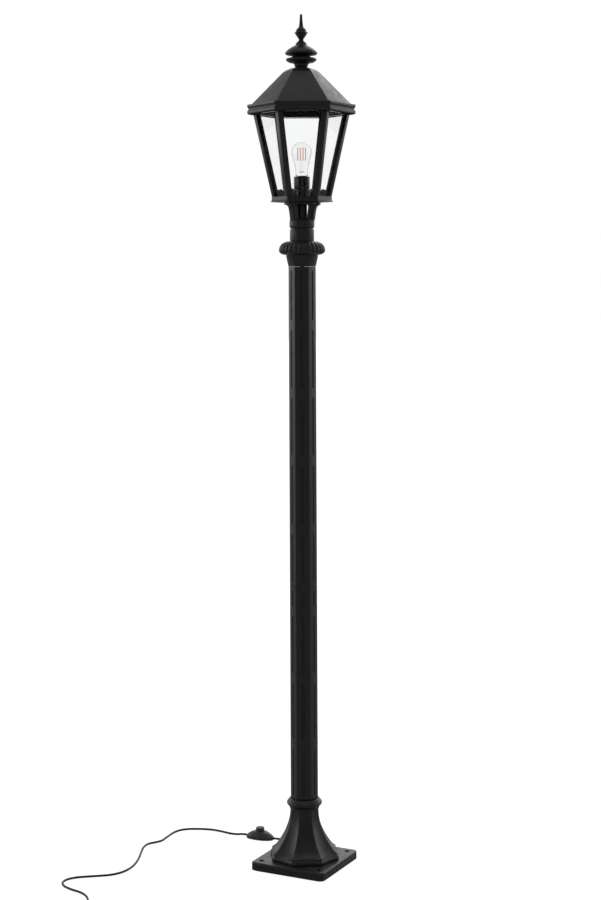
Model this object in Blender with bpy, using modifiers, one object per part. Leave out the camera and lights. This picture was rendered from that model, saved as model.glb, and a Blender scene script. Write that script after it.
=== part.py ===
"""A street-lantern floor lamp: square base, bell pedestal, fluted hexagonal column and six-pane lantern.

Metres, +Z up. The origin is on the floor under the column's axis, and -Y is the front.
The lantern's roof lifts along Z, its finial turns about Z, the bulb comes out along Z,
and the foot switch's button travels along Z.
"""

from math import cos, pi, radians, sin, sqrt

import bmesh
import bpy
import numpy as np
from mathutils import Matrix, Vector

GAP = 0.0003  # between two pieces that touch

# Each section of the post is screwed to the next, so each stops at its own turn about Z.
BASE_TURN = radians(-27.0)
PEDESTAL_TURN = radians(22.5 + 4.2)
COLUMN_TURN = radians(-2.9)
YOKE_TURN = radians(10.0)
LANTERN_TURN = radians(1.35)

# Base: a mat, a ballast plate and a cast flange.
BASE_SIDE = 0.184
BASE_CORNER = 0.010
MAT_SIDE = 0.176
MAT_TOP = 0.0015
BALLAST_TOP = 0.0110
FLANGE_TOP = 0.0200
FLANGE_EDGE = 0.0030
CORNER_HOLE_R = 0.0050
CORNER_HOLE_AT = 0.103
CABLE_WELL_R = 0.030
CABLE_SLOT = 0.0090

# Pedestal: an octagonal bell whose outline is a parabola.
FOOT_R = 0.081
FOOT_TOP = 0.0300
FOOT_INNER_R = 0.060
BELL_START = 0.0360
BELL_TOP = 0.1309
BELL_TOP_R = 0.0340
BELL_FLARE = 4.45
BELL_WALL = 0.0055
BELL_WEB = 0.1149
SCREW_CIRCLE = 0.068
SCREW_SHANK_R = 0.0022
SCREW_HEAD_R = 0.0045

# Column: two hexagonal castings on an inner coupler, drawn together by a hollow tie rod.
COLLAR_TOP = 0.1549
COLLAR_R = 0.0395
COLUMN_R = 0.0314
COLUMN_BORE = 0.0212
COLUMN_JOINT = 0.6400
COLUMN_TOP = 1.3740
FLUTE_R = 0.0030
FLUTE_TIP = 0.0070
LOWER_FLUTES = ((0.161, 0.271), (0.291, 0.421), (0.441, 0.575), (0.595, 0.634))
UPPER_FLUTES = ((0.650, 0.763), (0.783, 0.920), (0.940, 1.074), (1.094, 1.230), (1.250, 1.366))
ROD_R = 0.0050
ROD_BORE = 0.0034
ROD_HOLE = 0.0056
ROD_FOOT = 0.0980
ROD_HEAD = 1.5395

# Crown, neck and yoke.
CROWN_FLARE_TOP = 1.4010
CROWN_FLARE_R = 0.0370
CROWN_RING_TOP = 1.4325
CROWN_RING_R = 0.0530
CROWN_LOBES = 28
CROWN_LOBE_DEPTH = 0.0022
NECK_R = 0.0278
NECK_TOP = 1.4630
HUB_R = 0.0288
HUB_TOP = 1.4830
ARM_WIDTH = 0.0160
ARM_SECTIONS = ((1.4780, 0.0150, 0.0278), (1.4830, 0.0155, 0.0298), (1.5085, 0.0190, 0.0337),
                (1.5160, 0.0205, 0.0436), (1.5223, 0.0205, 0.0436))  # z, inner and outer radius
BOSS_R = 0.0120
YOKE_PLATE_R = 0.0405
YOKE_PLATE_LOW = 1.5165

# Lantern: a hexagonal floor, six posts, six panes, a cornice, a roof and a finial.
FLOOR_Z = 1.5226
FLOOR_TOP = 1.5348
FLOOR_R = 0.0695
FLOOR_LIP_R = 0.0716
POST_FOOT = 1.5351
POST_TOP = 1.7247
POST_FOOT_R = 0.0690
POST_LEAN = 0.2222
POST_FLANGE = 0.0120
POST_THICK = 0.0035
POST_WEB = 0.0060
POST_DEPTH = 0.0180
BRACKET = (0.0150, 0.0100, 0.0160)
PANE_THICK = 0.0030
PANE_INSET = 0.0080
PANE_FOOT = 1.5360
PANE_TOP = 1.7240
CORNICE_FOOT = 1.7250
CORNICE_TOP = 1.7469
CORNICE_R = 0.1250
CORNICE_MOUTH = 0.0980
ROOF_FOOT = 1.7472
ROOF_R = 0.1150
ROOF_SHOULDER = (0.0427, 1.8205)
ROOF_TOP = 1.8306
STUD_R = 0.0040
STUD_HOLE = 0.0046
STUD_TOP = 1.8800
BRIDGE = (0.0200, 0.1830, 0.0035)

# Lampholder and bulb.
HOLDER_R = 0.0184
HOLDER_TOP = 1.5810
BULB_R = 0.0230
BULB_CENTRE = 1.6382
FILAMENT_RING = 0.0095
FILAMENT_SPAN = (1.6190, 1.6470)

# Cord: its diameter, and the route's own points on the floor.
CORD_D = 0.0050
CORD_Z = 0.0027
SLOT_Z = 0.0064
GLAND_LENGTH = 0.0260
LEAD_ROUTE = ((0.0590, 0.1270, 0.0034), (0.0530, 0.1480, 0.0028), (0.0300, 0.1660, 0.0027),
              (0.0020, 0.1720, 0.0027), (-0.0250, 0.1710, 0.0028))
CORD_ROUTE = ((-0.1639, 0.2125), (-0.1805, 0.2190), (-0.1971, 0.2310), (-0.2180, 0.2440),
              (-0.2385, 0.2512), (-0.2626, 0.2540), (-0.2850, 0.2530), (-0.3029, 0.2450),
              (-0.3175, 0.2266), (-0.3311, 0.1932), (-0.3430, 0.1650), (-0.3580, 0.1530),
              (-0.3710, 0.1440), (-0.3800, 0.1229), (-0.3834, 0.0811), (-0.3850, 0.0401),
              (-0.3904, -0.0001), (-0.3991, -0.0287), (-0.4134, -0.0529), (-0.4344, -0.0695),
              (-0.4560, -0.0761), (-0.4853, -0.0814), (-0.5140, -0.0880), (-0.5330, -0.1010),
              (-0.5400, -0.1200), (-0.5340, -0.1420), (-0.5153, -0.1640), (-0.4970, -0.1790),
              (-0.4840, -0.1940), (-0.4750, -0.2120), (-0.4690, -0.2396), (-0.4663, -0.2750))
COIL_CENTRE = (-0.4350, -0.3300)
COIL_RADII = (0.0183, 0.0337)
COIL_Z = (0.0012, 0.0112)

# Foot switch and plug.
SWITCH_CENTRE = (-0.1068, 0.1890)
SWITCH_TURN = radians(-23.6)
SWITCH_HALF = (0.0350, 0.0180)
SWITCH_SPLIT = 0.0060
SWITCH_TOP = 0.0178
SWITCH_END = 0.0006  # from the switch's end to the end of each cord that meets it
BUTTON_R = 0.0104
BUTTON_Z = (0.0115, 0.0268)
PLUG_REAR = (-0.4120, -0.3600, 0.0070)
PLUG_LENGTH = 0.0360
PIN_SPREAD = 0.0190


def clear_scene():
    for obj in list(bpy.data.objects):
        bpy.data.objects.remove(obj, do_unlink=True)


def collection(name, hidden=False):
    made = bpy.data.collections.new(name)
    bpy.context.scene.collection.children.link(made)
    made.hide_render = hidden
    return made


clear_scene()
PARTS = collection("street_lantern_floor_lamp")
CUTTERS = collection("cutters", hidden=True)


def finish(name, colour, roughness, metallic=0.0):
    material = bpy.data.materials.new(name)
    material.use_nodes = True
    shader = material.node_tree.nodes["Principled BSDF"]
    shader.inputs["Base Color"].default_value = (*colour, 1.0)
    shader.inputs["Roughness"].default_value = roughness
    shader.inputs["Metallic"].default_value = metallic
    material.diffuse_color = (*colour, 1.0)
    return material


POWDER_COAT = finish("black_powder_coat", (0.018, 0.018, 0.019), 0.45)
STEEL = finish("zinc_plated_steel", (0.52, 0.52, 0.50), 0.35, 1.0)
BRASS = finish("brass", (0.72, 0.53, 0.24), 0.30, 1.0)
RUBBER = finish("black_rubber", (0.020, 0.020, 0.020), 0.85)
PHENOLIC = finish("black_phenolic", (0.012, 0.012, 0.012), 0.22)
CABLE = finish("black_cable_jacket", (0.016, 0.016, 0.016), 0.50)
CLEAR = finish("clear_glass", (0.92, 0.94, 0.94), 0.03)
FILAMENT = finish("filament_phosphor", (0.85, 0.45, 0.16), 0.50)
PORCELAIN = finish("white_porcelain", (0.80, 0.79, 0.75), 0.25)


def add(name, mesh, material, place=PARTS):
    obj = bpy.data.objects.new(name, mesh)
    place.objects.link(obj)
    if material is not None:
        mesh.materials.clear()
        mesh.materials.append(material)
    return obj


def add_cutter(name, mesh):
    obj = add(name, mesh, None, CUTTERS)
    obj.hide_render = True
    obj.display_type = "WIRE"
    return obj


def mesh_of(bm, name):
    bmesh.ops.recalc_face_normals(bm, faces=bm.faces)
    mesh = bpy.data.meshes.new(name)
    bm.to_mesh(mesh)
    bm.free()
    return mesh


def shade(obj):
    obj.data.shade_smooth()
    obj.data.set_sharp_from_angle(angle=radians(32))


def applied(obj):
    """Puts the modifiers' result into the object's own mesh."""
    bpy.context.view_layer.update()
    graph = bpy.context.evaluated_depsgraph_get()
    mesh = bpy.data.meshes.new_from_object(obj.evaluated_get(graph))
    if obj.type == "MESH":
        obj.modifiers.clear()
        obj.data = mesh
        return obj
    made = bpy.data.objects.new(obj.name, mesh)
    for place in obj.users_collection:
        place.objects.link(made)
    made.matrix_world = obj.matrix_world
    name = obj.name
    bpy.data.objects.remove(obj, do_unlink=True)
    made.name = name
    bm = bmesh.new()
    bm.from_mesh(mesh)
    bmesh.ops.remove_doubles(bm, verts=bm.verts, dist=1e-6)
    bm.to_mesh(mesh)
    bm.free()
    return made


def turned_mesh(name, profile, steps=28, closed=False, material=None):
    """Turns a profile of (radius, z) points about Z. It runs down its outer side."""
    mesh = bpy.data.meshes.new(name)
    count = len(profile)
    edges = [(i, i + 1) for i in range(count - 1)] + [(count - 1, 0)] * closed
    mesh.from_pydata([(r, 0.0, z) for r, z in profile], edges, [])
    obj = add(name, mesh, material)
    screw = obj.modifiers.new("turn", "SCREW")
    screw.steps = screw.render_steps = steps
    screw.use_merge_vertices = True
    screw.merge_threshold = 0.00001
    screw.use_smooth_shade = False
    return applied(obj)


def turned(name, profile, material, steps=28, closed=False, smooth=True):
    obj = turned_mesh(name, profile, steps, closed, material)
    if smooth:
        shade(obj)
    return obj


def ring_profile(outer, bore):
    """A closed profile: down the outer side, then back up the bore."""
    return [*outer, (bore, outer[-1][1]), (bore, outer[0][1])]


def cylinder_mesh(name, radius, low, high, sides=20, centre=(0.0, 0.0)):
    bm = bmesh.new()
    bmesh.ops.create_cone(bm, cap_ends=True, segments=sides, radius1=radius, radius2=radius,
                          depth=high - low,
                          matrix=Matrix.Translation((*centre, (low + high) / 2)))
    return mesh_of(bm, name)


def box_mesh(name, size, centre, turn=0.0):
    bm = bmesh.new()
    placed = Matrix.Rotation(turn, 4, "Z") @ Matrix.Translation(centre) @ Matrix.Diagonal((*size, 1.0))
    bmesh.ops.create_cube(bm, size=1.0, matrix=placed)
    return mesh_of(bm, name)


def loft_mesh(name, sections):
    """Joins rings of points, each ring with as many points as the next, and caps both ends."""
    bm = bmesh.new()
    rings = [[bm.verts.new(p) for p in section] for section in sections]
    count = len(rings[0])
    for low, high in zip(rings, rings[1:]):
        for i in range(count):
            j = (i + 1) % count
            bm.faces.new((low[i], low[j], high[j], high[i]))
    bm.faces.new(rings[0][::-1])
    bm.faces.new(rings[-1])
    return mesh_of(bm, name)


def cut(obj, cutter, operation="DIFFERENCE"):
    modifier = obj.modifiers.new(operation.lower(), "BOOLEAN")
    modifier.operation = operation
    modifier.solver = "EXACT"
    modifier.object = cutter


def join(obj, meshes):
    """Unites the object with each mesh, and keeps the result as its own mesh."""
    helpers = [add_cutter(f"{obj.name}_piece", mesh) for mesh in meshes]
    for helper in helpers:
        cut(obj, helper, "UNION")
    applied(obj)
    for helper in helpers:
        bpy.data.objects.remove(helper, do_unlink=True)
    return obj


def bored(obj, radius, low, high, sides=20):
    cut(obj, add_cutter(f"{obj.name}_bore", cylinder_mesh("bore", radius, low, high, sides)))
    return obj


def about_z(points, turn):
    spin = Matrix.Rotation(turn, 3, "Z")
    return [spin @ Vector(p) for p in points]


def rounded_square(side, corner, z, turn=0.0, per_corner=4):
    points = []
    reach = side / 2 - corner
    for quarter in range(4):
        for step in range(per_corner):
            angle = pi / 2 * (quarter + step / (per_corner - 1))
            sx = 1 if quarter in (0, 3) else -1
            sy = 1 if quarter in (0, 1) else -1
            points.append((sx * reach + corner * cos(angle), sy * reach + corner * sin(angle), z))
    return about_z(points, turn)


def smooth_route(points, spacing):
    """Points about `spacing` apart on a centripetal Catmull-Rom curve through the given ones."""
    route = np.array(points, float)
    ends = np.vstack([2 * route[0] - route[1], route, 2 * route[-1] - route[-2]])
    fine = []
    for p0, p1, p2, p3 in zip(ends, ends[1:], ends[2:], ends[3:]):
        knots = np.cumsum([0.0] + [sqrt(np.linalg.norm(b - a)) for a, b in ((p0, p1), (p1, p2), (p2, p3))])
        for t in np.linspace(knots[1], knots[2], 24, endpoint=False):
            a1, a2, a3 = (
                a + (b - a) * (t - ka) / (kb - ka)
                for a, b, ka, kb in ((p0, p1, knots[0], knots[1]), (p1, p2, knots[1], knots[2]),
                                     (p2, p3, knots[2], knots[3])))
            b1 = a1 + (a2 - a1) * (t - knots[0]) / (knots[2] - knots[0])
            b2 = a2 + (a3 - a2) * (t - knots[1]) / (knots[3] - knots[1])
            fine.append(b1 + (b2 - b1) * (t - knots[1]) / (knots[2] - knots[1]))
    fine = np.array([*fine, route[-1]])
    along = np.concatenate([[0.0], np.cumsum(np.linalg.norm(np.diff(fine, axis=0), axis=1))])
    at = np.linspace(0.0, along[-1], max(2, round(along[-1] / spacing) + 1))
    return [tuple(np.interp(s, along, fine[:, k]) for k in range(3)) for s in at]


def tube(name, points, radius, material, resolution=2):
    curve = bpy.data.curves.new(name, "CURVE")
    curve.dimensions = "3D"
    curve.bevel_depth = radius
    curve.bevel_resolution = resolution
    curve.use_fill_caps = True
    spline = curve.splines.new("POLY")
    spline.points.add(len(points) - 1)
    for place, point in zip(spline.points, points):
        place.co = (*point, 1.0)
    return add(name, curve, material)


# ---------------------------------------------------------------- base and pedestal

def base_mat():
    sections = [rounded_square(MAT_SIDE, BASE_CORNER, z, BASE_TURN) for z in (0.0, MAT_TOP)]
    obj = add("base_mat", loft_mesh("base_mat", sections), RUBBER)
    cut(obj, corner_hole_cutter("mat_holes", CORNER_HOLE_R + 0.002))


def corner_hole_cutter(name, radius):
    """Four holes on the square's diagonals, as one cutter."""
    bm = bmesh.new()
    for quarter in range(4):
        angle = BASE_TURN + pi / 4 + quarter * pi / 2
        centre = (CORNER_HOLE_AT * cos(angle), CORNER_HOLE_AT * sin(angle), FLANGE_TOP / 2)
        bmesh.ops.create_cone(bm, cap_ends=True, segments=16, radius1=radius, radius2=radius,
                              depth=2 * FLANGE_TOP, matrix=Matrix.Translation(centre))
    return add_cutter(name, mesh_of(bm, name))


def screw_hole_cutter(name, radius, low, high):
    bm = bmesh.new()
    for x, y in screw_places():
        bmesh.ops.create_cone(bm, cap_ends=True, segments=12, radius1=radius, radius2=radius,
                              depth=high - low, matrix=Matrix.Translation((x, y, (low + high) / 2)))
    return add_cutter(name, mesh_of(bm, name))


def screw_places():
    return [(SCREW_CIRCLE * cos(a), SCREW_CIRCLE * sin(a))
            for a in (PEDESTAL_TURN + radians(22.5) + quarter * pi / 2 for quarter in range(4))]


def ballast_plate():
    low = MAT_TOP + GAP
    sections = [rounded_square(BASE_SIDE, BASE_CORNER, z, BASE_TURN) for z in (low, BALLAST_TOP)]
    obj = add("ballast_plate", loft_mesh("ballast_plate", sections), POWDER_COAT)
    cut(obj, corner_hole_cutter("ballast_holes", CORNER_HOLE_R))
    bored(obj, CABLE_WELL_R, 0.0, FLANGE_TOP, 24)
    slot = box_mesh("cable_slot", (CABLE_SLOT, BASE_SIDE, FLANGE_TOP * 2),
                    (0.0, BASE_SIDE / 2 + 0.010, 0.0), BASE_TURN)
    cut(obj, add_cutter("cable_slot", slot))
    cut(obj, screw_hole_cutter("ballast_screw_holes", SCREW_HEAD_R + GAP, 0.0, FLANGE_TOP))


def base_plate():
    low = BALLAST_TOP + GAP
    levels = [(low, 0.0), (FLANGE_TOP - FLANGE_EDGE, 0.0)]
    for step in range(1, 4):
        angle = step / 3 * pi / 2
        levels.append((FLANGE_TOP - FLANGE_EDGE * (1 - sin(angle)), FLANGE_EDGE * (1 - cos(angle))))
    sections = [rounded_square(BASE_SIDE - 2 * inset, BASE_CORNER - inset, z, BASE_TURN)
                for z, inset in levels]
    obj = add("base_plate", loft_mesh("base_plate", sections), POWDER_COAT)
    cut(obj, corner_hole_cutter("flange_holes", CORNER_HOLE_R))
    bored(obj, CABLE_WELL_R, 0.0, FLANGE_TOP * 2, 24)
    cut(obj, screw_hole_cutter("flange_screw_holes", SCREW_SHANK_R + GAP, 0.0, FLANGE_TOP * 2))


def bell_radius(z):
    return BELL_TOP_R + BELL_FLARE * (BELL_TOP - z) ** 2


def pedestal():
    low = FLANGE_TOP + GAP
    heights = np.linspace(BELL_TOP, BELL_START, 10)
    outer = [(0.0, BELL_TOP)] + [(bell_radius(z), z) for z in heights]
    outer += [(0.0790, 0.0330), (FOOT_R, FOOT_TOP), (FOOT_R, low)]
    inner_start = BELL_TOP - sqrt((FOOT_INNER_R + BELL_WALL - BELL_TOP_R) / BELL_FLARE)
    inner = [(FOOT_INNER_R, low)]
    inner += [(bell_radius(z) - BELL_WALL, z) for z in np.linspace(inner_start, BELL_WEB, 7)]
    obj = turned("pedestal", [*outer, *inner, (0.0, BELL_WEB)], POWDER_COAT, steps=8, smooth=False)
    obj.rotation_euler.z = PEDESTAL_TURN
    bored(obj, ROD_HOLE, BELL_WEB - 0.01, BELL_TOP + 0.01)
    cut(obj, screw_hole_cutter("pedestal_screw_holes", SCREW_SHANK_R + GAP, 0.010, 0.0275))


def pedestal_screws():
    head, neck, tip = 0.0025, 0.0060, 0.0265
    profile = [(0.0, tip), (SCREW_SHANK_R, tip), (SCREW_SHANK_R, BALLAST_TOP - GAP),
               (SCREW_HEAD_R, BALLAST_TOP - GAP), (SCREW_HEAD_R, neck), (0.0038, head), (0.0, head)]
    for number, (x, y) in enumerate(screw_places(), 1):
        obj = turned(f"pedestal_screw_{number}", profile, STEEL, steps=12)
        obj.location = (x, y, 0.0)


def collar_ring():
    low = BELL_TOP + GAP
    middle = (low + COLLAR_TOP) / 2
    outer = [(0.0205, COLLAR_TOP + 0.008), (0.0205, COLLAR_TOP), (0.0335, COLLAR_TOP),
             (0.0372, middle + 0.0065), (COLLAR_R, middle), (0.0372, middle - 0.0065), (0.0335, low)]
    turned("collar_ring", ring_profile(outer, 0.0165), POWDER_COAT, closed=True)


# ---------------------------------------------------------------- column and tie rod

def flute_cutter(name, spans):
    """A spindle for each stretch of flute on each of the six faces, as one cutter."""
    bm = bmesh.new()
    centre = COLUMN_R * cos(pi / 6) + 0.0006
    for low, high in spans:
        for side in range(6):
            angle = COLUMN_TURN + pi / 6 + side * pi / 3
            place = Vector((centre * cos(angle), centre * sin(angle), 0.0))
            levels = ((low, 0.0006), (low + FLUTE_TIP, FLUTE_R), (high - FLUTE_TIP, FLUTE_R), (high, 0.0006))
            rings = [[bm.verts.new(place + Vector((r * cos(k * pi / 4 + angle), r * sin(k * pi / 4 + angle), z)))
                      for k in range(8)] for z, r in levels]
            for under, over in zip(rings, rings[1:]):
                for i in range(8):
                    j = (i + 1) % 8
                    bm.faces.new((under[i], under[j], over[j], over[i]))
            bm.faces.new(rings[0][::-1])
            bm.faces.new(rings[-1])
    return add_cutter(name, mesh_of(bm, name))


def column(name, low, high, spans):
    profile = [(0.0, high), (COLUMN_R, high), (COLUMN_R, low), (0.0, low)]
    obj = turned(name, profile, POWDER_COAT, steps=6, smooth=False)
    obj.data.transform(Matrix.Rotation(COLUMN_TURN, 4, "Z"))
    bored(obj, COLUMN_BORE, low - 0.01, high + 0.01)
    cut(obj, flute_cutter(f"{name}_flutes", spans))


def column_coupler():
    outer = [(COLUMN_BORE - 0.0005, COLUMN_JOINT + 0.040), (COLUMN_BORE - 0.0005, COLUMN_JOINT - 0.040)]
    turned("column_coupler", ring_profile(outer, 0.0170), STEEL, steps=24, closed=True)


def tie_rod():
    turned("tie_rod", ring_profile([(ROD_R, ROD_HEAD), (ROD_R, ROD_FOOT)], ROD_BORE), STEEL,
           steps=16, closed=True)


def tie_nut():
    """A hexagonal nut with a washer face against the pedestal's web."""
    top = BELL_WEB - GAP
    profile = [(0.0, top), (0.0120, top), (0.0120, top - 0.0018), (0.0092, top - 0.0024),
               (0.0092, top - 0.0085), (0.0, top - 0.0085)]
    bored(turned("tie_nut", profile, STEEL, steps=6, smooth=False), ROD_HOLE, top - 0.02, top + 0.01)


# ---------------------------------------------------------------- crown, neck and yoke

def hexagon_radius(angle, corner_radius):
    """The distance to a hexagon's edge in this direction, with a corner at angle 0."""
    inside = (angle + pi / 6) % (pi / 3) - pi / 6
    return corner_radius * cos(pi / 6) / cos(abs(inside) - pi / 6)


def crown_bell():
    """A short flare from the column's hexagon to a round seat."""
    sections = []
    low = COLUMN_TOP + GAP
    for share in (0.0, 0.35, 0.7, 1.0):
        z = low + share * (CROWN_FLARE_TOP - GAP - low)
        ring = []
        for k in range(36):
            angle = k * pi / 18
            flat, round_ = hexagon_radius(angle, COLUMN_R), CROWN_FLARE_R
            r = flat + (round_ - flat) * share
            ring.append((r * cos(angle), r * sin(angle), z))
        sections.append(about_z(ring, COLUMN_TURN))
    obj = add("crown_bell", loft_mesh("crown_bell", sections), POWDER_COAT)
    bored(obj, 0.0200, low - 0.01, CROWN_FLARE_TOP + 0.01)


def crown_ring():
    """A round moulding whose bulge is cut into lobes."""
    low, top = CROWN_FLARE_TOP, CROWN_RING_TOP
    levels = ((low, CROWN_FLARE_R, 0.0), (low + 0.0020, 0.0445, 0.6), (low + 0.0060, 0.0505, 1.0),
              (low + 0.0110, CROWN_RING_R, 1.0), (low + 0.0180, 0.0513, 1.0), (low + 0.0235, 0.0485, 1.0),
              (low + 0.0280, 0.0430, 0.6), (top, 0.0345, 0.0))
    sections = []
    for z, radius, share in levels:
        ring = []
        for k in range(CROWN_LOBES * 2):
            angle = 2 * pi * k / (CROWN_LOBES * 2)
            r = radius - share * CROWN_LOBE_DEPTH * (k % 2 == 0)
            ring.append((r * cos(angle), r * sin(angle), z))
        sections.append(ring)
    obj = add("crown_ring", loft_mesh("crown_ring", sections), POWDER_COAT)
    bored(obj, ROD_HOLE, low - 0.01, top + 0.01)


def neck_drum():
    low, top = CROWN_RING_TOP + GAP, NECK_TOP - GAP
    outer = [(0.0262, top), (0.0262, top - 0.0035), (NECK_R, top - 0.0050), (NECK_R, low)]
    turned("neck_drum", ring_profile(outer, ROD_HOLE), POWDER_COAT, closed=True)


def arm_section(z, inner, outer, angle):
    half = ARM_WIDTH / 2
    return about_z([(inner, -half, z), (outer, -half, z), (outer, half, z), (inner, half, z)], angle)


def yoke():
    """A hub with three rising arms whose ends carry the lantern's floor."""
    outer = [(HUB_R - 0.001, HUB_TOP), (HUB_R, HUB_TOP - 0.001), (HUB_R, NECK_TOP + 0.002),
             (0.0263, NECK_TOP)]
    obj = turned("yoke", ring_profile(outer, ROD_HOLE), POWDER_COAT, closed=True)
    arms = []
    for k in range(3):
        angle = radians(-30.0 + 120.0 * k) + YOKE_TURN
        arms.append(loft_mesh("arm", [arm_section(z, a, b, angle) for z, a, b in ARM_SECTIONS]))
    join(obj, [*arms, cylinder_mesh("yoke_plate", YOKE_PLATE_R, YOKE_PLATE_LOW, FLOOR_Z - GAP)])
    bored(obj, ROD_HOLE, YOKE_PLATE_LOW - 0.01, FLOOR_Z + 0.01)


def yoke_boss():
    low = HUB_TOP + GAP
    top = YOKE_PLATE_LOW - GAP
    outer = [(BOSS_R - 0.0010, top), (BOSS_R, top - 0.0010), (BOSS_R, low)]
    turned("yoke_boss", ring_profile(outer, ROD_HOLE), POWDER_COAT, steps=24, closed=True)


# ---------------------------------------------------------------- lantern

def lantern_floor():
    profile = [(0.0, FLOOR_TOP), (FLOOR_R - 0.001, FLOOR_TOP), (FLOOR_R, FLOOR_TOP - 0.001),
               (FLOOR_R, FLOOR_Z + 0.0035), (FLOOR_LIP_R, FLOOR_Z + 0.0020), (FLOOR_LIP_R, FLOOR_Z),
               (0.0, FLOOR_Z)]
    obj = turned("lantern_floor", profile, POWDER_COAT, steps=6, smooth=False)
    obj.data.transform(Matrix.Rotation(LANTERN_TURN, 4, "Z"))
    bored(obj, ROD_HOLE, FLOOR_Z - 0.01, FLOOR_TOP + 0.01)


def post_radius(z):
    return POST_FOOT_R + POST_LEAN * (z - POST_FOOT)


def post_section(z):
    """An arrow-shaped section: two flanges on the hexagon's faces and a web towards the axis."""
    r = post_radius(z)
    half_web = POST_WEB / 2
    along = Vector((-sin(pi / 6), cos(pi / 6), 0.0))
    inward = Vector((-cos(pi / 6), -sin(pi / 6), 0.0))
    corner = Vector((r, 0.0, z))
    tip = corner + along * POST_FLANGE
    back = tip + inward * POST_THICK
    root = corner + inward * POST_THICK + along * ((half_web + POST_THICK * sin(pi / 6)) / cos(pi / 6))
    web = Vector((r - POST_DEPTH, half_web, z))
    upper = [tip, back, root, web]
    lower = [Vector((p.x, -p.y, p.z)) for p in reversed(upper)]
    return [corner, *upper, *lower]


def corner_posts():
    length, width, height = BRACKET
    for number in range(6):
        obj = add(f"corner_post_{number + 1}", loft_mesh("post", [post_section(POST_FOOT), post_section(POST_TOP)]),
                  POWDER_COAT)
        inner = post_radius(POST_FOOT) - POST_DEPTH
        centre = (inner - length / 2 + 0.004, 0.0, POST_FOOT + height / 2)
        join(obj, [box_mesh("bracket", (length, width, height), centre)])
        obj.rotation_euler.z = LANTERN_TURN + number * pi / 3


def glass_panes():
    inset = POST_THICK + GAP
    levels = []
    for z in (PANE_FOOT, PANE_TOP):
        outer = post_radius(z) * cos(pi / 6) - inset
        half = post_radius(z) / 2 - PANE_INSET
        levels.append([(outer, -half, z), (outer, half, z), (outer - PANE_THICK, half, z),
                       (outer - PANE_THICK, -half, z)])
    for number in range(6):
        obj = add(f"glass_pane_{number + 1}", loft_mesh("pane", levels), CLEAR)
        obj.rotation_euler.z = LANTERN_TURN + pi / 6 + number * pi / 3


def cornice():
    r = CORNICE_R
    outer = [(r - 0.0012, CORNICE_TOP), (r, CORNICE_TOP - 0.0012), (r, CORNICE_FOOT + 0.0145),
             (r - 0.0024, CORNICE_FOOT + 0.0122), (r - 0.0024, CORNICE_FOOT + 0.0102), (r, CORNICE_FOOT + 0.0080),
             (r, CORNICE_FOOT + 0.0022), (r - 0.0030, CORNICE_FOOT)]
    obj = turned("cornice", ring_profile(outer, CORNICE_MOUTH), POWDER_COAT, steps=6, closed=True,
                 smooth=False)
    obj.data.transform(Matrix.Rotation(LANTERN_TURN, 4, "Z"))


def roof_bridge():
    """A flat bar across the cornice's mouth, which carries the roof's stud."""
    low = CORNICE_TOP + GAP
    centre = (0.0, 0.0, low + BRIDGE[2] / 2)
    add("roof_bridge", box_mesh("roof_bridge", BRIDGE, centre, LANTERN_TURN), STEEL)


def roof_stud():
    low = CORNICE_TOP + BRIDGE[2] + 2 * GAP
    profile = [(0.0, STUD_TOP), (0.0032, STUD_TOP), (STUD_R, STUD_TOP - 0.001), (STUD_R, low + 0.005),
               (0.0070, low + 0.005), (0.0070, low), (0.0, low)]
    turned("roof_stud", profile, STEEL, steps=16)


def roof_shell():
    shoulder_r, shoulder_z = ROOF_SHOULDER
    outer = [(0.0, ROOF_TOP), (0.0220, ROOF_TOP), (0.0340, ROOF_TOP - 0.0043), (shoulder_r, shoulder_z),
             (ROOF_R, ROOF_FOOT)]
    inner = [(ROOF_R - 0.0050, ROOF_FOOT), (0.0390, ROOF_TOP - 0.0125), (0.0, ROOF_TOP - 0.0125)]
    obj = turned("roof_shell", [*outer, *inner], POWDER_COAT, steps=6, smooth=False)
    obj.data.transform(Matrix.Rotation(LANTERN_TURN, 4, "Z"))
    bored(obj, STUD_HOLE, ROOF_TOP - 0.03, ROOF_TOP + 0.01, 16)


def finial():
    low = ROOF_TOP + GAP
    dish = [(0.0200, 1.8572), (0.0225, 1.8548), (0.0338, 1.8528), (0.0356, 1.8505), (0.0346, 1.8478),
            (0.0285, 1.8438), (0.0187, 1.8410), (0.0160, 1.8370), (0.0138, low)]
    turned("finial_dish", ring_profile(dish, STUD_HOLE), POWDER_COAT, steps=24, closed=True)
    cap = [(0.0056, 1.8945), (0.0105, 1.8893), (0.0127, 1.8860), (0.0130, 1.8828), (0.0190, 1.8800),
           (0.0270, 1.8756), (0.0330, 1.8705), (0.0370, 1.8665), (0.0372, 1.8640), (0.0340, 1.8608),
           (0.0215, 1.8590), (0.0200, 1.8575)]
    turned("finial_cap", ring_profile(cap, STUD_HOLE), POWDER_COAT, steps=24, closed=True)
    spike = [(0.0, 1.9550), (0.0020, 1.9544), (0.0027, 1.9520), (0.0031, 1.9410), (0.0046, 1.9320),
             (0.0050, 1.9255), (0.0094, 1.9210), (0.0116, 1.9160), (0.0122, 1.9132), (0.0152, 1.9116),
             (0.0122, 1.9072), (0.0093, 1.9026), (0.0055, 1.8962), (0.0054, 1.8948), (0.0, 1.8948)]
    turned("finial_spike", spike, POWDER_COAT, steps=20)


# ---------------------------------------------------------------- lampholder and bulb

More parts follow.
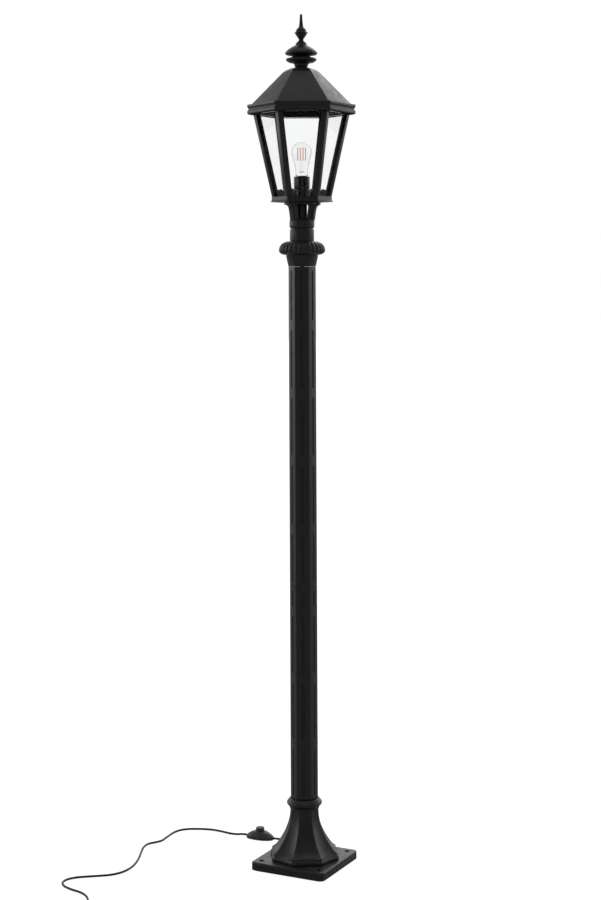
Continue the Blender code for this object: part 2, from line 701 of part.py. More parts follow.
def lampholder():
    foot, split = FLOOR_TOP + GAP, 1.5530
    cup = [(HOLDER_R, split), (HOLDER_R, foot), (0.0, foot), (0.0, foot + 0.006),
           (0.0156, foot + 0.006), (0.0156, split)]
    bored(turned("holder_cap", cup, PHENOLIC, closed=True), 0.0054, foot - 0.01, foot + 0.015)
    shell = ring_profile([(HOLDER_R, HOLDER_TOP), (HOLDER_R, split + GAP)], 0.0158)
    turned("holder_shell", shell, PHENOLIC, closed=True)
    insert = [(0.0, 1.5562), (0.0060, 1.5562), (0.0060, 1.5540), (0.0152, 1.5540), (0.0152, 1.5416),
              (0.0, 1.5416)]
    turned("holder_insert", insert, PORCELAIN, steps=24)
    thread = ring_profile([(0.0152, HOLDER_TOP - 0.0015), (0.0152, 1.5545)], 0.0143)
    turned("thread_shell", thread, BRASS, closed=True)


def bulb():
    contact = [(0.0, 1.5628), (0.0074, 1.5628), (0.0046, 1.5590), (0.0030, 1.5568), (0.0, 1.5566)]
    turned("bulb_contact", contact, BRASS, steps=16)
    cap = [(0.0131, 1.5826), (0.0131, 1.5670), (0.0085, 1.5631), (0.0075, 1.5631), (0.0075, 1.5642),
           (0.0122, 1.5680), (0.0122, 1.5826)]
    turned("bulb_cap", cap, BRASS, steps=24, closed=True)
    outer = [(BULB_R * sin(a), BULB_CENTRE + BULB_R * cos(a)) for a in np.linspace(0.0, radians(108), 9)]
    outer += [(0.0190, 1.6185), (0.0157, 1.6060), (0.0143, 1.5940), (0.0140, 1.5830)]
    wall = 0.0009
    inner = [(max(0.0, r - wall), z) for r, z in reversed(outer[2:])]
    inner += [((BULB_R - wall) * sin(a), BULB_CENTRE + (BULB_R - wall) * cos(a)) for a in (radians(14), 0.0)]
    turned("bulb_glass", [*outer, *inner], CLEAR, steps=18)
    bulb_stem()


def bulb_stem():
    """The glass stem and the frame that carries four upright filaments, as one piece."""
    low, high = FILAMENT_SPAN
    rim, wire, plate = FILAMENT_RING + 0.0015, 0.0014, 0.0008
    profile = [(0.0, high + plate), (rim, high + plate), (rim, high), (wire, high - 0.0004), (wire, low + 0.0004),
               (rim, low), (rim, low - plate), (0.0030, low - 0.0050), (0.0036, 1.5960), (0.0085, 1.5836),
               (0.0, 1.5836)]
    obj = turned("bulb_stem", profile, FILAMENT, steps=12)
    sticks = [cylinder_mesh("stick", 0.0010, low - plate / 2, high + plate / 2, 6,
                            (FILAMENT_RING * cos(a), FILAMENT_RING * sin(a)))
              for a in (radians(20 + 90 * k) for k in range(4))]
    join(obj, sticks)


# ---------------------------------------------------------------- cord, switch and plug

def cable_direction():
    return Vector((-sin(BASE_TURN), cos(BASE_TURN), 0.0))


def inner_flex():
    out = cable_direction()
    stations = ((0.0770, SLOT_Z), (0.0500, SLOT_Z), (0.0350, 0.0070), (0.0230, 0.0108), (0.0130, 0.0200),
                (0.0055, 0.0380), (0.0012, 0.0650), (0.0, 0.0900), (0.0, 0.1200))
    bend = smooth_route([tuple(out * s + Vector((0, 0, z))) for s, z in stations], 0.012)
    tube("inner_flex", [*bend, (0.0, 0.0, ROD_HEAD)], 0.0024, CABLE)


def cord_gland():
    """A tapered strain relief that grips the ballast plate's slot."""
    start, face = 0.0775, BASE_SIDE / 2
    tip = face + GLAND_LENGTH
    profile = [(0.0, tip), (0.0030, tip), (0.0041, face + 0.0030), (0.0041, start), (0.0, start)]
    obj = turned("cord_gland", profile, RUBBER, steps=16)
    out = cable_direction()
    lay = Matrix.Translation((0.0, 0.0, SLOT_Z)) @ out.to_track_quat("Z", "Y").to_matrix().to_4x4()
    obj.data.transform(lay)


def switch_matrix():
    return Matrix.Translation((*SWITCH_CENTRE, 0.0)) @ Matrix.Rotation(SWITCH_TURN, 4, "Z")


def cord_lead():
    out = cable_direction()
    start = out * (BASE_SIDE / 2 + GLAND_LENGTH + GAP)
    placed = switch_matrix()
    ends = [tuple(placed @ Vector((SWITCH_HALF[0] + s, 0.0, 0.0045))) for s in (0.012, SWITCH_END)]
    straight = [tuple(start + Vector((0, 0, SLOT_Z))), tuple(start + out * 0.008 + Vector((0, 0, 0.0055)))]
    tube("cord_to_switch", smooth_route([*straight, *LEAD_ROUTE, *ends], 0.011), CORD_D / 2, CABLE)


def cord_main():
    placed = switch_matrix()
    starts = [tuple(placed @ Vector((-SWITCH_HALF[0] - s, 0.0, 0.0045))) for s in (SWITCH_END, 0.012)]
    end = (COIL_CENTRE[0] - 0.0310, COIL_CENTRE[1] + 0.0205, 0.0037)
    route = [*starts, *((x, y, CORD_Z) for x, y in CORD_ROUTE), end]
    tube("cord_main", smooth_route(route, 0.0145), CORD_D / 2, CABLE)


def cord_coil():
    inner, outer = COIL_RADII
    obj = turned("cord_coil", ring_profile([(outer, COIL_Z[1]), (outer, COIL_Z[0])], inner), CABLE,
                 steps=28, closed=True)
    obj.location = (*COIL_CENTRE, 0.0)


def coil_tie():
    """A flat strap once round the coil's turns."""
    inner, outer = COIL_RADII
    wall, width = 0.0009, 0.0060
    middle = (COIL_CENTRE[0] + (inner + outer) / 2, COIL_CENTRE[1], (COIL_Z[0] + COIL_Z[1]) / 2)
    hole = (outer - inner + 3 * GAP, 2 * width, COIL_Z[1] - COIL_Z[0] + 2 * GAP)
    outside = (hole[0] + 2 * wall, width, hole[2] + 2 * wall)
    obj = add("coil_tie", box_mesh("coil_tie", outside, middle), RUBBER)
    cut(obj, add_cutter("tie_hole", box_mesh("tie_hole", hole, middle)))


def switch_outline(z, length=1.0, width=1.0, count=28):
    """A rounded oblong, fuller than an ellipse."""
    points = []
    for k in range(count):
        angle = 2 * pi * k / count
        c, s = cos(angle), sin(angle)
        points.append((length * SWITCH_HALF[0] * abs(c) ** 0.8 * (1 if c > 0 else -1),
                       width * SWITCH_HALF[1] * abs(s) ** 0.8 * (1 if s > 0 else -1), z))
    return points


def foot_switch():
    placed = switch_matrix()
    tray = [switch_outline(0.0, 0.94, 0.88), switch_outline(0.0020), switch_outline(SWITCH_SPLIT)]
    base = add("switch_base", loft_mesh("switch_base", tray), PHENOLIC)
    cut(base, add_cutter("tray_well", cylinder_mesh("tray_well", 0.0090, 0.0020, 0.02)))
    dome = [switch_outline(SWITCH_SPLIT + GAP, 0.99, 0.99), switch_outline(0.0085, 0.94, 0.95),
            switch_outline(0.0118, 0.82, 0.88), switch_outline(0.0150, 0.66, 0.80),
            switch_outline(SWITCH_TOP, 0.48, 0.71)]
    cover = add("switch_cover", loft_mesh("switch_cover", dome), PHENOLIC)
    cut(cover, add_cutter("button_well", cylinder_mesh("button_well", BUTTON_R + 0.0005, 0.0, 0.03)))
    low, high = BUTTON_Z
    button = turned("switch_button", [(0.0, high), (BUTTON_R - 0.0010, high), (BUTTON_R, high - 0.0010),
                                      (BUTTON_R, low), (0.0, low)], PHENOLIC, steps=24)
    spring = switch_spring(0.0024, low - GAP)
    for obj in (base, cover, button, spring, bpy.data.objects["tray_well"], bpy.data.objects["button_well"]):
        obj.matrix_world = placed


def switch_spring(low, high):
    wire, radius, turns = 0.0004, 0.0055, 4
    count = turns * 10
    points = [(radius * cos(2 * pi * k / 10), radius * sin(2 * pi * k / 10),
               low + wire + (high - low - 2 * wire) * k / count) for k in range(count + 1)]
    return tube("switch_spring", points, wire, STEEL, resolution=1)


def plug():
    x, y, z = PLUG_REAR
    stations = ((0.0, 0.0040, 0.0040), (0.010, 0.0048, 0.0048), (0.014, 0.0100, 0.0064),
                (0.022, 0.0172, 0.0068), (PLUG_LENGTH, 0.0176, 0.0068))
    sections = []
    for s, half_wide, half_thick in stations:
        ring = []
        for k in range(20):
            c, n = cos(2 * pi * k / 20), sin(2 * pi * k / 20)
            ring.append((x + s, y + half_wide * abs(c) ** 0.6 * (1 if c > 0 else -1),
                         z + half_thick * abs(n) ** 0.6 * (1 if n > 0 else -1)))
        sections.append(ring)
    add("plug_body", loft_mesh("plug_body", sections), RUBBER)
    face = x + PLUG_LENGTH + GAP
    for number, side in enumerate((-1, 1), 1):
        pin = turned(f"plug_pin_{number}", [(0.0, 0.0190), (0.0014, 0.0190), (0.0020, 0.0180),
                                            (0.0020, 0.0), (0.0, 0.0)], BRASS, steps=16)
        pin.rotation_euler.y = pi / 2
        pin.location = (face, y + side * PIN_SPREAD / 2, z)


def main():
    base_mat()
    ballast_plate()
    base_plate()
    pedestal()
    pedestal_screws()
    collar_ring()
    column("lower_column", COLLAR_TOP + GAP, COLUMN_JOINT, LOWER_FLUTES)
    column("upper_column", COLUMN_JOINT + GAP, COLUMN_TOP, UPPER_FLUTES)
    column_coupler()
    tie_rod()
    tie_nut()
    crown_bell()
    crown_ring()
    neck_drum()
    yoke()
    yoke_boss()
    lantern_floor()
    corner_posts()
    glass_panes()
    cornice()
    roof_bridge()
    roof_stud()
    roof_shell()
    finial()
    lampholder()
    bulb()
    inner_flex()
    cord_gland()
    cord_lead()
    cord_main()
    cord_coil()
    coil_tie()
    foot_switch()
    plug()


main()
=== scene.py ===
# %% [markdown]
# # A street-lantern floor lamp, dressed for its picture
# The frame is the engineered lamp: every piece is already in its place, but plainly shaped. This lesson
# gives each piece that shows its finished form and its finish. The lamp stands on the floor at the
# origin, +Z is up, and -Y is its front. All sizes are in metres.

# %% Load the frame
from math import cos, pi, radians, sin, sqrt, tan

import bmesh
import bpy
import numpy as np
from mathutils import Matrix, Vector


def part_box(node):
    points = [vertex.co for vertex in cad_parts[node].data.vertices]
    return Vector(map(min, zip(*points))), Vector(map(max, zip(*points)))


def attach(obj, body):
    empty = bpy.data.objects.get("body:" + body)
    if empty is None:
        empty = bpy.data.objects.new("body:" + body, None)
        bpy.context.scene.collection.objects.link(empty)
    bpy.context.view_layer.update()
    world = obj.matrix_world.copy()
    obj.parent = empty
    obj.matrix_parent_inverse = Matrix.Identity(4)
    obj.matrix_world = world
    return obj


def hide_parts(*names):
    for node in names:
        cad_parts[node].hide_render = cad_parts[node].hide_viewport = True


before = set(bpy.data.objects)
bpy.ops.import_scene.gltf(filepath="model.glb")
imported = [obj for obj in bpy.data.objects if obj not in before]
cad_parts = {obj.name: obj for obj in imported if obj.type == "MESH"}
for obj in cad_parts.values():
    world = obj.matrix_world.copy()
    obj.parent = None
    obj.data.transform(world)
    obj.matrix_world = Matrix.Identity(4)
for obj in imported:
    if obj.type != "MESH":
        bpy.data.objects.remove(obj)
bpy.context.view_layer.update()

# %% [markdown]
# ## The camera
# The lamp is twice as tall as the lens is high, and its uprights stay parallel, so the camera stands
# level at eye height and its frame is shifted down, as a view camera's front would be lowered. Tilting
# the camera instead would make the uprights lean together. A small roll matches the lamp's slight lean.

# %% Stand the camera
EYE = (0.0, -4.074, 1.371)
ROLL = radians(-0.25)

lens = bpy.data.cameras.new("camera")
lens.sensor_width = 36.0
lens.lens = 70.9
lens.shift_x = -0.0018
lens.shift_y = -0.2022
camera = bpy.data.objects.new("camera", lens)
bpy.context.scene.collection.objects.link(camera)
level = Matrix.Rotation(pi / 2, 4, "X")
camera.matrix_world = Matrix.Translation(EYE) @ level @ Matrix.Rotation(ROLL, 4, "Z")
bpy.context.scene.camera = camera
print("camera at", EYE)

# %% [markdown]
# ## Finishes
# Almost everything here is one of a few factory finishes: satin powder coat, moulded plastic, rubber, a
# plated or turned metal. Each has the same build-up: a broad, faint unevenness of tone, a patchy sheen
# from handling, and a fine relief, the orange peel of sprayed powder or the grain of a mould. So one
# function makes them all, with Noise textures on Object coordinates, and each finish is its own recipe.
# The cornice's inner side and underside get a thinner, duller coat, as the inside of a sprayed frame has. It
# is also
# painted shade: darker in tone and with no reflection at all, as if little light reached in there.

# %% A finish from three scales of noise
def noise(tree, scale, detail=2.0):
    texture = tree.nodes.new("ShaderNodeTexNoise")
    texture.inputs["Scale"].default_value = scale
    texture.inputs["Detail"].default_value = detail
    place = tree.nodes.new("ShaderNodeTexCoord")
    tree.links.new(place.outputs["Object"], texture.inputs["Vector"])
    return texture.outputs["Fac"]


def ramp(tree, factor, low, high, start=0.35, end=0.65):
    """Spreads the middle of a noise over two colours or two grey levels."""
    node = tree.nodes.new("ShaderNodeValToRGB")
    node.color_ramp.elements[0].position = start
    node.color_ramp.elements[1].position = end
    node.color_ramp.elements[0].color = (*low, 1.0) if isinstance(low, tuple) else (low, low, low, 1.0)
    node.color_ramp.elements[1].color = (*high, 1.0) if isinstance(high, tuple) else (high, high, high, 1.0)
    tree.links.new(factor, node.inputs["Fac"])
    return node.outputs["Color"]


def finish(name, tones, sheen, patch, grain, relief, metallic=0.0, **sockets):
    """tones: two colours; sheen: two roughness values; patch and grain: noise scales; relief: metres."""
    material = bpy.data.materials.new(name)
    material.use_nodes = True
    tree = material.node_tree
    shader = tree.nodes["Principled BSDF"]
    shader.inputs["Metallic"].default_value = metallic
    for socket, value in sockets.items():
        shader.inputs[socket.replace("_", " ")].default_value = value
    tree.links.new(ramp(tree, noise(tree, patch), *tones), shader.inputs["Base Color"])
    tree.links.new(ramp(tree, noise(tree, patch * 3.1, 4.0), *sheen), shader.inputs["Roughness"])
    bump = tree.nodes.new("ShaderNodeBump")
    bump.inputs["Strength"].default_value = 0.6
    bump.inputs["Distance"].default_value = relief
    tree.links.new(noise(tree, grain), bump.inputs["Height"])
    tree.links.new(bump.outputs["Normal"], shader.inputs["Normal"])
    material.diffuse_color = (*tones[1], 1.0)
    return material


POWDER_COAT = finish("satin_powder_coat", ((0.0125, 0.0118, 0.0118), (0.0175, 0.0168, 0.0165)),
                     (0.30, 0.40), 22.0, 620.0, 0.00009)
# Painted shade for the cornice's inside and underside: darker tones and no reflection.
SHADED_INSIDE_COAT = finish("inside_coat_painted_shade", ((0.0090, 0.0088, 0.0088), (0.0140, 0.0135, 0.0132)),
                     (0.70, 0.85), 22.0, 620.0, 0.00009, Specular_IOR_Level=0.0)
GLOSS_PLASTIC = finish("holder_phenolic", ((0.005, 0.005, 0.005), (0.008, 0.008, 0.008)),
                       (0.08, 0.13), 60.0, 900.0, 0.00002)
SWITCH_PLASTIC = finish("moulded_plastic", ((0.050, 0.050, 0.050), (0.070, 0.070, 0.071)),
                        (0.34, 0.46), 90.0, 2200.0, 0.00005)
RUBBER = finish("soft_rubber", ((0.016, 0.016, 0.016), (0.030, 0.029, 0.028)),
                (0.62, 0.80), 80.0, 1500.0, 0.00008)
JACKET = finish("cord_jacket", ((0.016, 0.016, 0.017), (0.028, 0.028, 0.029)),
                (0.40, 0.52), 45.0, 1800.0, 0.00005)
CAST_IRON = finish("ballast_coat", ((0.010, 0.010, 0.010), (0.017, 0.016, 0.016)),
                   (0.42, 0.56), 30.0, 380.0, 0.00020)
ZINC = finish("zinc_plate", ((0.42, 0.43, 0.42), (0.58, 0.58, 0.55)), (0.26, 0.42), 70.0, 700.0, 0.00003, 1.0)
BRASS = finish("turned_brass", ((0.58, 0.41, 0.17), (0.74, 0.55, 0.25)),
               (0.20, 0.34), 90.0, 900.0, 0.00003, 1.0)
BLACK_ZINC = finish("black_zinc_plate", ((0.020, 0.020, 0.020), (0.034, 0.034, 0.033)),
                    (0.45, 0.60), 70.0, 700.0, 0.00003, 0.4)
NICKEL = finish("nickel_plate", ((0.58, 0.57, 0.54), (0.68, 0.66, 0.62)),
                (0.14, 0.24), 90.0, 900.0, 0.00002, 1.0)
PORCELAIN = finish("glazed_porcelain", ((0.74, 0.73, 0.69), (0.82, 0.81, 0.78)), (0.12, 0.20), 40.0, 300.0,
                   0.00005)
FILAMENT = finish("filament_phosphor", ((0.72, 0.32, 0.20), (0.92, 0.50, 0.34)), (0.45, 0.60), 300.0, 4000.0,
                  0.00003, Emission_Color=(1.0, 0.52, 0.38, 1.0), Emission_Strength=0.42)
print("finishes:", len(bpy.data.materials))

# %% [markdown]
# ## Clear glass
# The panes and the bulb are clear, and what shows of them is only their reflections and a slight grey
# cast. Transmission does that, and a very weak, wide bump keeps the reflections from being ruled with a
# straight edge, as on real drawn glass. An index of refraction below that of window glass keeps the
# reflections and the bulb's outline as faint as they are against a white backdrop.

# %% Glass
def glass(name, colour, waviness, ior):
    material = bpy.data.materials.new(name)
    material.use_nodes = True
    tree = material.node_tree
    shader = tree.nodes["Principled BSDF"]
    shader.inputs["Transmission Weight"].default_value = 1.0
    shader.inputs["IOR"].default_value = ior
    tree.links.new(ramp(tree, noise(tree, 12.0), tuple(0.97 * c for c in colour), colour),
                   shader.inputs["Base Color"])
    tree.links.new(ramp(tree, noise(tree, 30.0), 0.0, 0.02), shader.inputs["Roughness"])
    bump = tree.nodes.new("ShaderNodeBump")
    bump.inputs["Strength"].default_value = 0.3
    bump.inputs["Distance"].default_value = waviness
    tree.links.new(noise(tree, 18.0), bump.inputs["Height"])
    tree.links.new(bump.outputs["Normal"], shader.inputs["Normal"])
    material.diffuse_color = (*colour, 0.3)
    return material


PANE_GLASS = glass("pane_glass", (0.985, 0.990, 0.990), 0.0002, 1.20)
BULB_GLASS = glass("bulb_glass_clear", (0.990, 0.990, 0.990), 0.0001, 1.12)
print("glass:", PANE_GLASS.name, BULB_GLASS.name)

# %% [markdown]
# ## From points to a finished piece
# Nearly every casting on the lamp is a stack of outlines: rings for what is turned, hexagons for the
# lantern, an octagon for the pedestal. `skin` covers such a stack, and `place` finishes a piece: it
# shades it, gives it its finish, lets it ride on its body and hides the plain piece it replaces.

# %% Skin a stack of outlines, and place a piece
def skin(name, rings, loop=False):
    """Covers rings of points, each with as many. A loop joins the last ring to the first."""
    rings = np.asarray(rings, float)
    levels, count = rings.shape[:2]
    faces = []
    for low in range(levels if loop else levels - 1):
        high = (low + 1) % levels
        for j in range(count):
            k = (j + 1) % count
            faces.append((low * count + j, low * count + k, high * count + k, high * count + j))
    if not loop:
        faces.append(tuple(range(count))[::-1])
        faces.append(tuple((levels - 1) * count + j for j in range(count)))
    mesh = bpy.data.meshes.new(name)
    mesh.from_pydata([tuple(p) for p in rings.reshape(-1, 3)], [], faces)
    bm = bmesh.new()
    bm.from_mesh(mesh)
    bmesh.ops.remove_doubles(bm, verts=bm.verts, dist=1e-7)
    bmesh.ops.delete(bm, geom=[edge for edge in bm.edges if not edge.link_faces], context="EDGES")
    bmesh.ops.recalc_face_normals(bm, faces=bm.faces)
    bm.to_mesh(mesh)
    bm.free()
    return linked(name, mesh)


def linked(name, data):
    obj = bpy.data.objects.new(name, data)
    bpy.context.scene.collection.objects.link(obj)
    return obj


def baked(obj):
    """Puts what the modifiers make into the object's own mesh."""
    graph = bpy.context.evaluated_depsgraph_get()
    mesh = bpy.data.meshes.new_from_object(obj.evaluated_get(graph))
    obj.modifiers.clear()
    obj.data = mesh
    return obj


def place(obj, material, slot, nodes, body="root", sharp=34.0):
    if obj.type == "MESH":
        obj.data.shade_smooth()
        obj.data.set_sharp_from_angle(angle=radians(sharp))
    obj.data.materials.clear()
    obj.data.materials.append(material)
    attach(obj, body)
    if nodes:
        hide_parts(*nodes)
    return obj


def joined(name, objects):
    """Several closed meshes as one object."""
    bm = bmesh.new()
    for obj in objects:
        bm.from_mesh(obj.data)
        bpy.data.objects.remove(obj, do_unlink=True)
    mesh = bpy.data.meshes.new(name)
    bm.to_mesh(mesh)
    bm.free()
    return linked(name, mesh)


print("helpers ready")

# %% [markdown]
# ## The cord's two lengths
# A flex is one length of something bendy: it leaves a grip straight, falls to the floor within a few
# diameters, and wanders there in curves it could really hold. The first length runs from the base to the
# foot switch, and the second goes on from the switch in a lazy S. Its far end is put away as a neat coil
# of two layers, with the plug beside it. The route is a short list of points on the floor, a smooth curve
# goes through them, and the coil's turns come from a formula.

# %% A smooth curve through a few points
CORD_D = 0.0050
CORD_Z = 0.0027


def smooth_route(points, spacing):
    """Points about `spacing` apart on a centripetal Catmull-Rom curve through the given ones."""
    route = np.array(points, float)
    ends = np.vstack([2 * route[0] - route[1], route, 2 * route[-1] - route[-2]])
    fine = []
    for p0, p1, p2, p3 in zip(ends, ends[1:], ends[2:], ends[3:]):
        steps = [sqrt(np.linalg.norm(b - a)) for a, b in ((p0, p1), (p1, p2), (p2, p3))]
        k0, k1, k2, k3 = np.cumsum([0.0, *steps])
        for t in np.linspace(k1, k2, 16, endpoint=False):
            a1, a2, a3 = (a + (b - a) * (t - ka) / (kb - ka)
                          for a, b, ka, kb in ((p0, p1, k0, k1), (p1, p2, k1, k2), (p2, p3, k2, k3)))
            b1 = a1 + (a2 - a1) * (t - k0) / (k2 - k0)
            b2 = a2 + (a3 - a2) * (t - k1) / (k3 - k1)
            fine.append(b1 + (b2 - b1) * (t - k1) / (k2 - k1))
    fine = np.array([*fine, route[-1]])
    along = np.concatenate([[0.0], np.cumsum(np.linalg.norm(np.diff(fine, axis=0), axis=1))])
    at = np.linspace(0.0, along[-1], round(along[-1] / spacing) + 1)
    return [tuple(np.interp(s, along, fine[:, k]) for k in range(3)) for s in at], along[-1]


def flex(name, route):
    """A round flex along the route, and its length."""
    points, length = smooth_route(route, 0.0040)
    curve = bpy.data.curves.new(name, "CURVE")
    curve.dimensions = "3D"
    curve.bevel_depth = CORD_D / 2
    curve.bevel_resolution = 4
    curve.use_fill_caps = True
    spline = curve.splines.new("POLY")
    spline.points.add(len(points) - 1)
    for knot, point in zip(spline.points, points):
        knot.co = (*point, 1.0)
    spline.use_smooth = True
    print(name, "is", round(length, 3), "m long")
    return linked(name, curve), length


print("flex diameter", CORD_D)

# %% Where the switch, the slot and the coil are
BASE_TURN = radians(-27.0)
BASE_SIDE = 0.184
SLOT_Z = 0.0064
GLAND_TIP = BASE_SIDE / 2 + 0.026
SWITCH_CENTRE = (-0.1068, 0.1890)
SWITCH_TURN = radians(-23.6)
SWITCH_HALF = (0.0350, 0.0180)
SWITCH_CORD_Z = 0.0045
COIL_CENTRE = (-0.4350, -0.3300)
COIL_R = (0.0210, 0.0310)
COIL_LAYERS = (0.0037, 0.0087)
PLUG_REAR = Vector((-0.4120, -0.3600, 0.0070))

OUT = Vector((-sin(BASE_TURN), cos(BASE_TURN), 0.0))
SWITCH = Matrix.Translation((*SWITCH_CENTRE, 0.0)) @ Matrix.Rotation(SWITCH_TURN, 4, "Z")


def at_switch(side, beyond):
    """A point on the switch's long axis, beyond its end, at the height of the cord's centre."""
    return tuple(SWITCH @ Vector((side * (SWITCH_HALF[0] + beyond), 0.0, SWITCH_CORD_Z)))


print("flex leaves the base at", [round(v, 3) for v in OUT * GLAND_TIP])

# %% From the base to the switch
LEAD_ROUTE = ((0.0590, 0.1270, 0.0034), (0.0530, 0.1480, 0.0028), (0.0300, 0.1660, 0.0027),
              (0.0020, 0.1720, 0.0027), (-0.0250, 0.1710, 0.0028))

STRAIGHT, TUCKED = 0.012, -0.003

lead_start = [tuple(OUT * (GLAND_TIP + s) + Vector((0.0, 0.0, z)))
              for s, z in ((-0.004, SLOT_Z), (0.0083, 0.0055))]
lead_end = [at_switch(1, STRAIGHT), at_switch(1, TUCKED)]
lead, lead_length = flex("flex_to_switch", [*lead_start, *LEAD_ROUTE, *lead_end])
place(lead, JACKET, "cable_jacket", ["cord_to_switch"])

# %% From the switch to the plug, with the coil
CORD_ROUTE = ((-0.1639, 0.2125), (-0.1805, 0.2190), (-0.1971, 0.2310), (-0.2180, 0.2440),
              (-0.2385, 0.2512), (-0.2626, 0.2540), (-0.2850, 0.2530), (-0.3029, 0.2450),
              (-0.3175, 0.2266), (-0.3311, 0.1932), (-0.3430, 0.1650), (-0.3580, 0.1530),
              (-0.3710, 0.1440), (-0.3800, 0.1229), (-0.3834, 0.0811), (-0.3850, 0.0401),
              (-0.3904, -0.0001), (-0.3991, -0.0287), (-0.4134, -0.0529), (-0.4344, -0.0695),
              (-0.4560, -0.0761), (-0.4853, -0.0814), (-0.5140, -0.0880), (-0.5330, -0.1010),
              (-0.5400, -0.1200), (-0.5340, -0.1420), (-0.5153, -0.1640), (-0.4970, -0.1790),
              (-0.4840, -0.1940), (-0.4750, -0.2120), (-0.4690, -0.2396), (-0.4663, -0.2750))


def coil_turns():
    """Two turns inwards on the floor, a quarter turn to climb, and two turns outwards on top."""
    inner, outer = COIL_R
    low, high = COIL_LAYERS
    points = []
    for step in range(1, 69):
        turns = step / 16
        inwards = min(turns, 2.0) / 2
        climb = min(max(turns - 2.0, 0.0) * 4, 1.0)
        outwards = max(turns - 2.25, 0.0) / 2
        r = outer + (inner - outer) * (inwards - outwards)
        z = low + (high - low) * climb * climb * (3 - 2 * climb)
        angle = pi + 2 * pi * turns
        points.append((COIL_CENTRE[0] + r * cos(angle), COIL_CENTRE[1] + r * sin(angle), z))
    return points


arrival = [(COIL_CENTRE[0] - COIL_R[1], COIL_CENTRE[1] + y, COIL_LAYERS[0]) for y in (0.0205, 0.0)]
into_plug = [tuple(PLUG_REAR + Vector(step))
             for step in ((-0.010, -0.0004, 0.0006), (0.0, 0.0, 0.0), (0.005, 0.0, 0.0))]
main_route = [at_switch(-1, TUCKED), at_switch(-1, STRAIGHT), *((x, y, CORD_Z) for x, y in CORD_ROUTE),
              *arrival, *coil_turns(), *into_plug]
main_flex, main_length = flex("flex_to_plug", main_route)
place(main_flex, JACKET, "cable_jacket", ["cord_main", "cord_coil"])


print("cords:", lead.name, main_flex.name)

# %% [markdown]
# ## Rings for every outline
# A turned part is a stack of circles. The column and lantern are stacks of hexagons and the pedestal is a
# stack of octagons, each with a small round at its corners, because a casting never has a knife edge and
# that round is what catches the light. `eased` does the same for the corners of the profile itself.

# %% Profiles and rings
def eased(points, radius, loop=False, steps=3):
    """Rounds the corners of a line of (radius, z) points."""
    points = [Vector(p) for p in points]
    made = []
    for i, corner in enumerate(points):
        if not loop and i in (0, len(points) - 1):
            made.append(tuple(corner))
            continue
        before, after = points[i - 1] - corner, points[(i + 1) % len(points)] - corner
        reach = [side.normalized() * min(radius, 0.45 * side.length) for side in (before, after)]
        for t in (step / steps for step in range(steps + 1)):
            made.append(tuple(corner + (1 - t) ** 2 * reach[0] + t ** 2 * reach[1]))
    return made


def round_ring(r, z, count=64):
    return [(r * cos(2 * pi * k / count), r * sin(2 * pi * k / count), z) for k in range(count)]


def sided_ring(sides, r, z, turn, corner, steps=4):
    """A polygon with round corners, its first corner at `turn`."""
    corner = min(corner, 0.4 * r)
    reach = r - corner / cos(pi / sides)
    ring = []
    for side in range(sides):
        middle = turn + 2 * pi * side / sides
        x, y = reach * cos(middle), reach * sin(middle)
        for angle in np.linspace(middle - pi / sides, middle + pi / sides, steps + 1):
            ring.append((x + corner * cos(angle), y + corner * sin(angle), z))
    return ring


def turned(name, profile, ease=0.0004, loop=False, count=64):
    return skin(name, [round_ring(r, z, count) for r, z in eased(profile, ease, loop)], loop)


def six_sided(name, profile, turn, corner=0.0016, ease=0.0004, loop=False):
    return skin(name, [sided_ring(6, r, z, turn, corner) for r, z in eased(profile, ease, loop)], loop)


print("rings ready")

# %% [markdown]
# ## Node trees for what repeats
# Six posts, six panes and the ribs of a grip are one shape laid out by a rule, which is what Geometry
# Nodes are for: change a number and the whole row follows. The first tree copies a piece round the Z
# axis. The second cuts lobes into a turned ring. `grown` runs a tree with its inputs set by their
# sockets' identifiers, and keeps the plain mesh.

# %% Build and run node trees
def new_tree(name, inputs):
    """A tree with these inputs, its group input node and its output's geometry socket."""
    tree = bpy.data.node_groups.new(name, "GeometryNodeTree")
    tree.interface.new_socket("Geometry", in_out="INPUT", socket_type="NodeSocketGeometry")
    for label, kind in inputs:
        tree.interface.new_socket(label, in_out="INPUT", socket_type=f"NodeSocket{kind}")
    tree.interface.new_socket("Geometry", in_out="OUTPUT", socket_type="NodeSocketGeometry")
    return tree, tree.nodes.new("NodeGroupInput"), tree.nodes.new("NodeGroupOutput")


def calculate(tree, operation, *values):
    """A Math node on sockets or plain numbers."""
    node = tree.nodes.new("ShaderNodeMath")
    node.operation = operation
    for socket, value in zip(node.inputs, values):
        if isinstance(value, (int, float)):
            socket.default_value = value
        else:
            tree.links.new(value, socket)
    return node.outputs[0]


def close_tree(tree, geometry, given, end):
    """Ends a tree in Realize Instances and Set Material."""
    real = tree.nodes.new("GeometryNodeRealizeInstances")
    coat = tree.nodes.new("GeometryNodeSetMaterial")
    tree.links.new(geometry, real.inputs["Geometry"])
    tree.links.new(real.outputs["Geometry"], coat.inputs["Geometry"])
    tree.links.new(given.outputs["Finish"], coat.inputs["Material"])
    tree.links.new(coat.outputs["Geometry"], end.inputs["Geometry"])
    return tree


def grown(obj, tree, inputs):
    modifier = obj.modifiers.new(tree.name, "NODES")
    modifier.node_group = tree
    sockets = {item.name: item.identifier for item in tree.interface.items_tree
               if item.item_type == "SOCKET" and item.in_out == "INPUT"}
    for label, value in inputs.items():
        modifier[sockets[label]] = value
    return baked(obj)


print("tree helpers ready")

